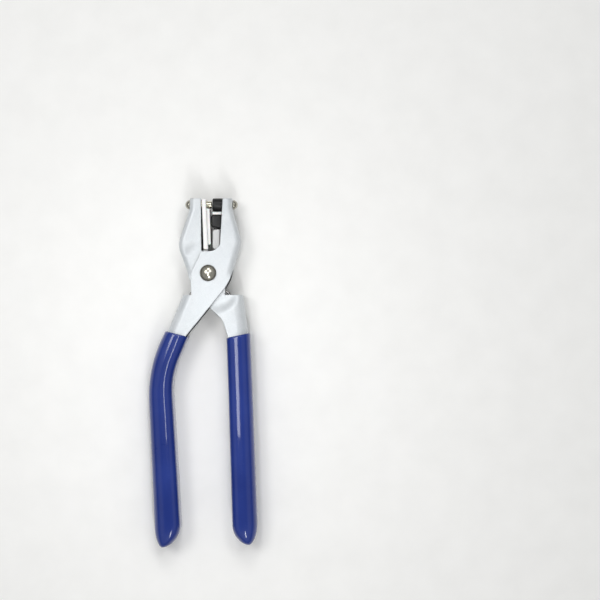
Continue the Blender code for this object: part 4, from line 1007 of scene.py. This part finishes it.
body_y = spaced(plate_low_y, pad_low, pad_high)
prong_y = spaced(pad_high, plate_top)
depths = spaced(fork_half, PAD_HALF, plate_half)
across = np.concatenate((-depths[::-1], spaced(-fork_half, fork_half)[1:-1], depths))
plate_shell = closed_sheet([plate_skins(body_y, across), plate_skins(prong_y, depths),
                            plate_skins(prong_y, -depths[::-1])])[:2]
turn = np.radians(np.linspace(EYE_FROM, EYE_TO, 40))
eye_line = np.column_stack((np.cos(turn), np.sin(turn))) * EYE_RADIUS
stem_top = plate_low_y + 3 - pin_centre[1]
stem_line = rounded([(*eye_line[-1], 0), (STEM_RIGHT, 4.0, 1.5), (STEM_RIGHT, stem_top, 0.3),
                     (STEM_LEFT, stem_top, 0.3), (STEM_LEFT, 3.6, 1.5), (*eye_line[0], 0)], 6)
eye_line = np.concatenate((eye_line, stem_line[1:]))
length = np.append(0, np.cumsum(np.linalg.norm(np.diff(eye_line, axis=0), axis=1)))
turn = np.radians(EYE_FROM) + 2 * np.pi * length / length[-1]
bore = np.column_stack((np.cos(turn), np.sin(turn))) * (PIN_RADIUS + GAP)
share = np.linspace(0, 1, 6)[None, :, None]
plan = pin_centre[:2] + bore[:, None] + (eye_line - bore)[:, None] * share
eye_skins = [np.concatenate((plan, np.full((*plan.shape[:2], 1), MID + z)), axis=-1)
             for z in (EYE_HALF, -EYE_HALF)]
platform = add_piece("platform_moulded", *together(plate_shell, closed_sheet([eye_skins])[:2]), nylon)
round_edges(platform, 0.15)
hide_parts("platform")
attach(platform, "platform")

pin_half = (pin_high[2] - pin_low[2]) / 2
pin_profile = softened([(-pin_half, 0), (-pin_half, PIN_RADIUS), (pin_half, PIN_RADIUS), (pin_half, 0)],
                       (0, 0.25, 0.25, 0))
pin = add_piece("platform_pin_turned", *turned(pin_profile, pin_centre, (0, 0, 1), 40), steel)
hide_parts("platform_pin")

leaf_line = rounded([(leaf_low[0] + 0.35, leaf_low[1] + 0.1, 0), (leaf_low[0] + 1.35, 25.5, 6),
                     (seat_x - 0.6, 30.0, 3), (seat_x - 0.6, leaf_high[1], 0)], 12)
leaf_line = even(leaf_line, 60)
sideways = unit(np.gradient(leaf_line, axis=0))[:, ::-1] * (-1, 1)
leaf_z = np.linspace(-1, 1, 9) * (leaf_high[2] - leaf_low[2]) / 2 + MID
leaf_skins = [np.stack([np.column_stack((leaf_line + sideways * off, np.full(len(leaf_line), z)))
                        for z in leaf_z], axis=1) for off in (LEAF_SHEET / 2, -LEAF_SHEET / 2)]
leaf = add_piece("platform_spring_bent", *closed_sheet([leaf_skins])[:2], spring_steel)
round_edges(leaf, 0.08)
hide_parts("platform_spring")
for piece in (pin, leaf):
    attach(piece, "inner_half")
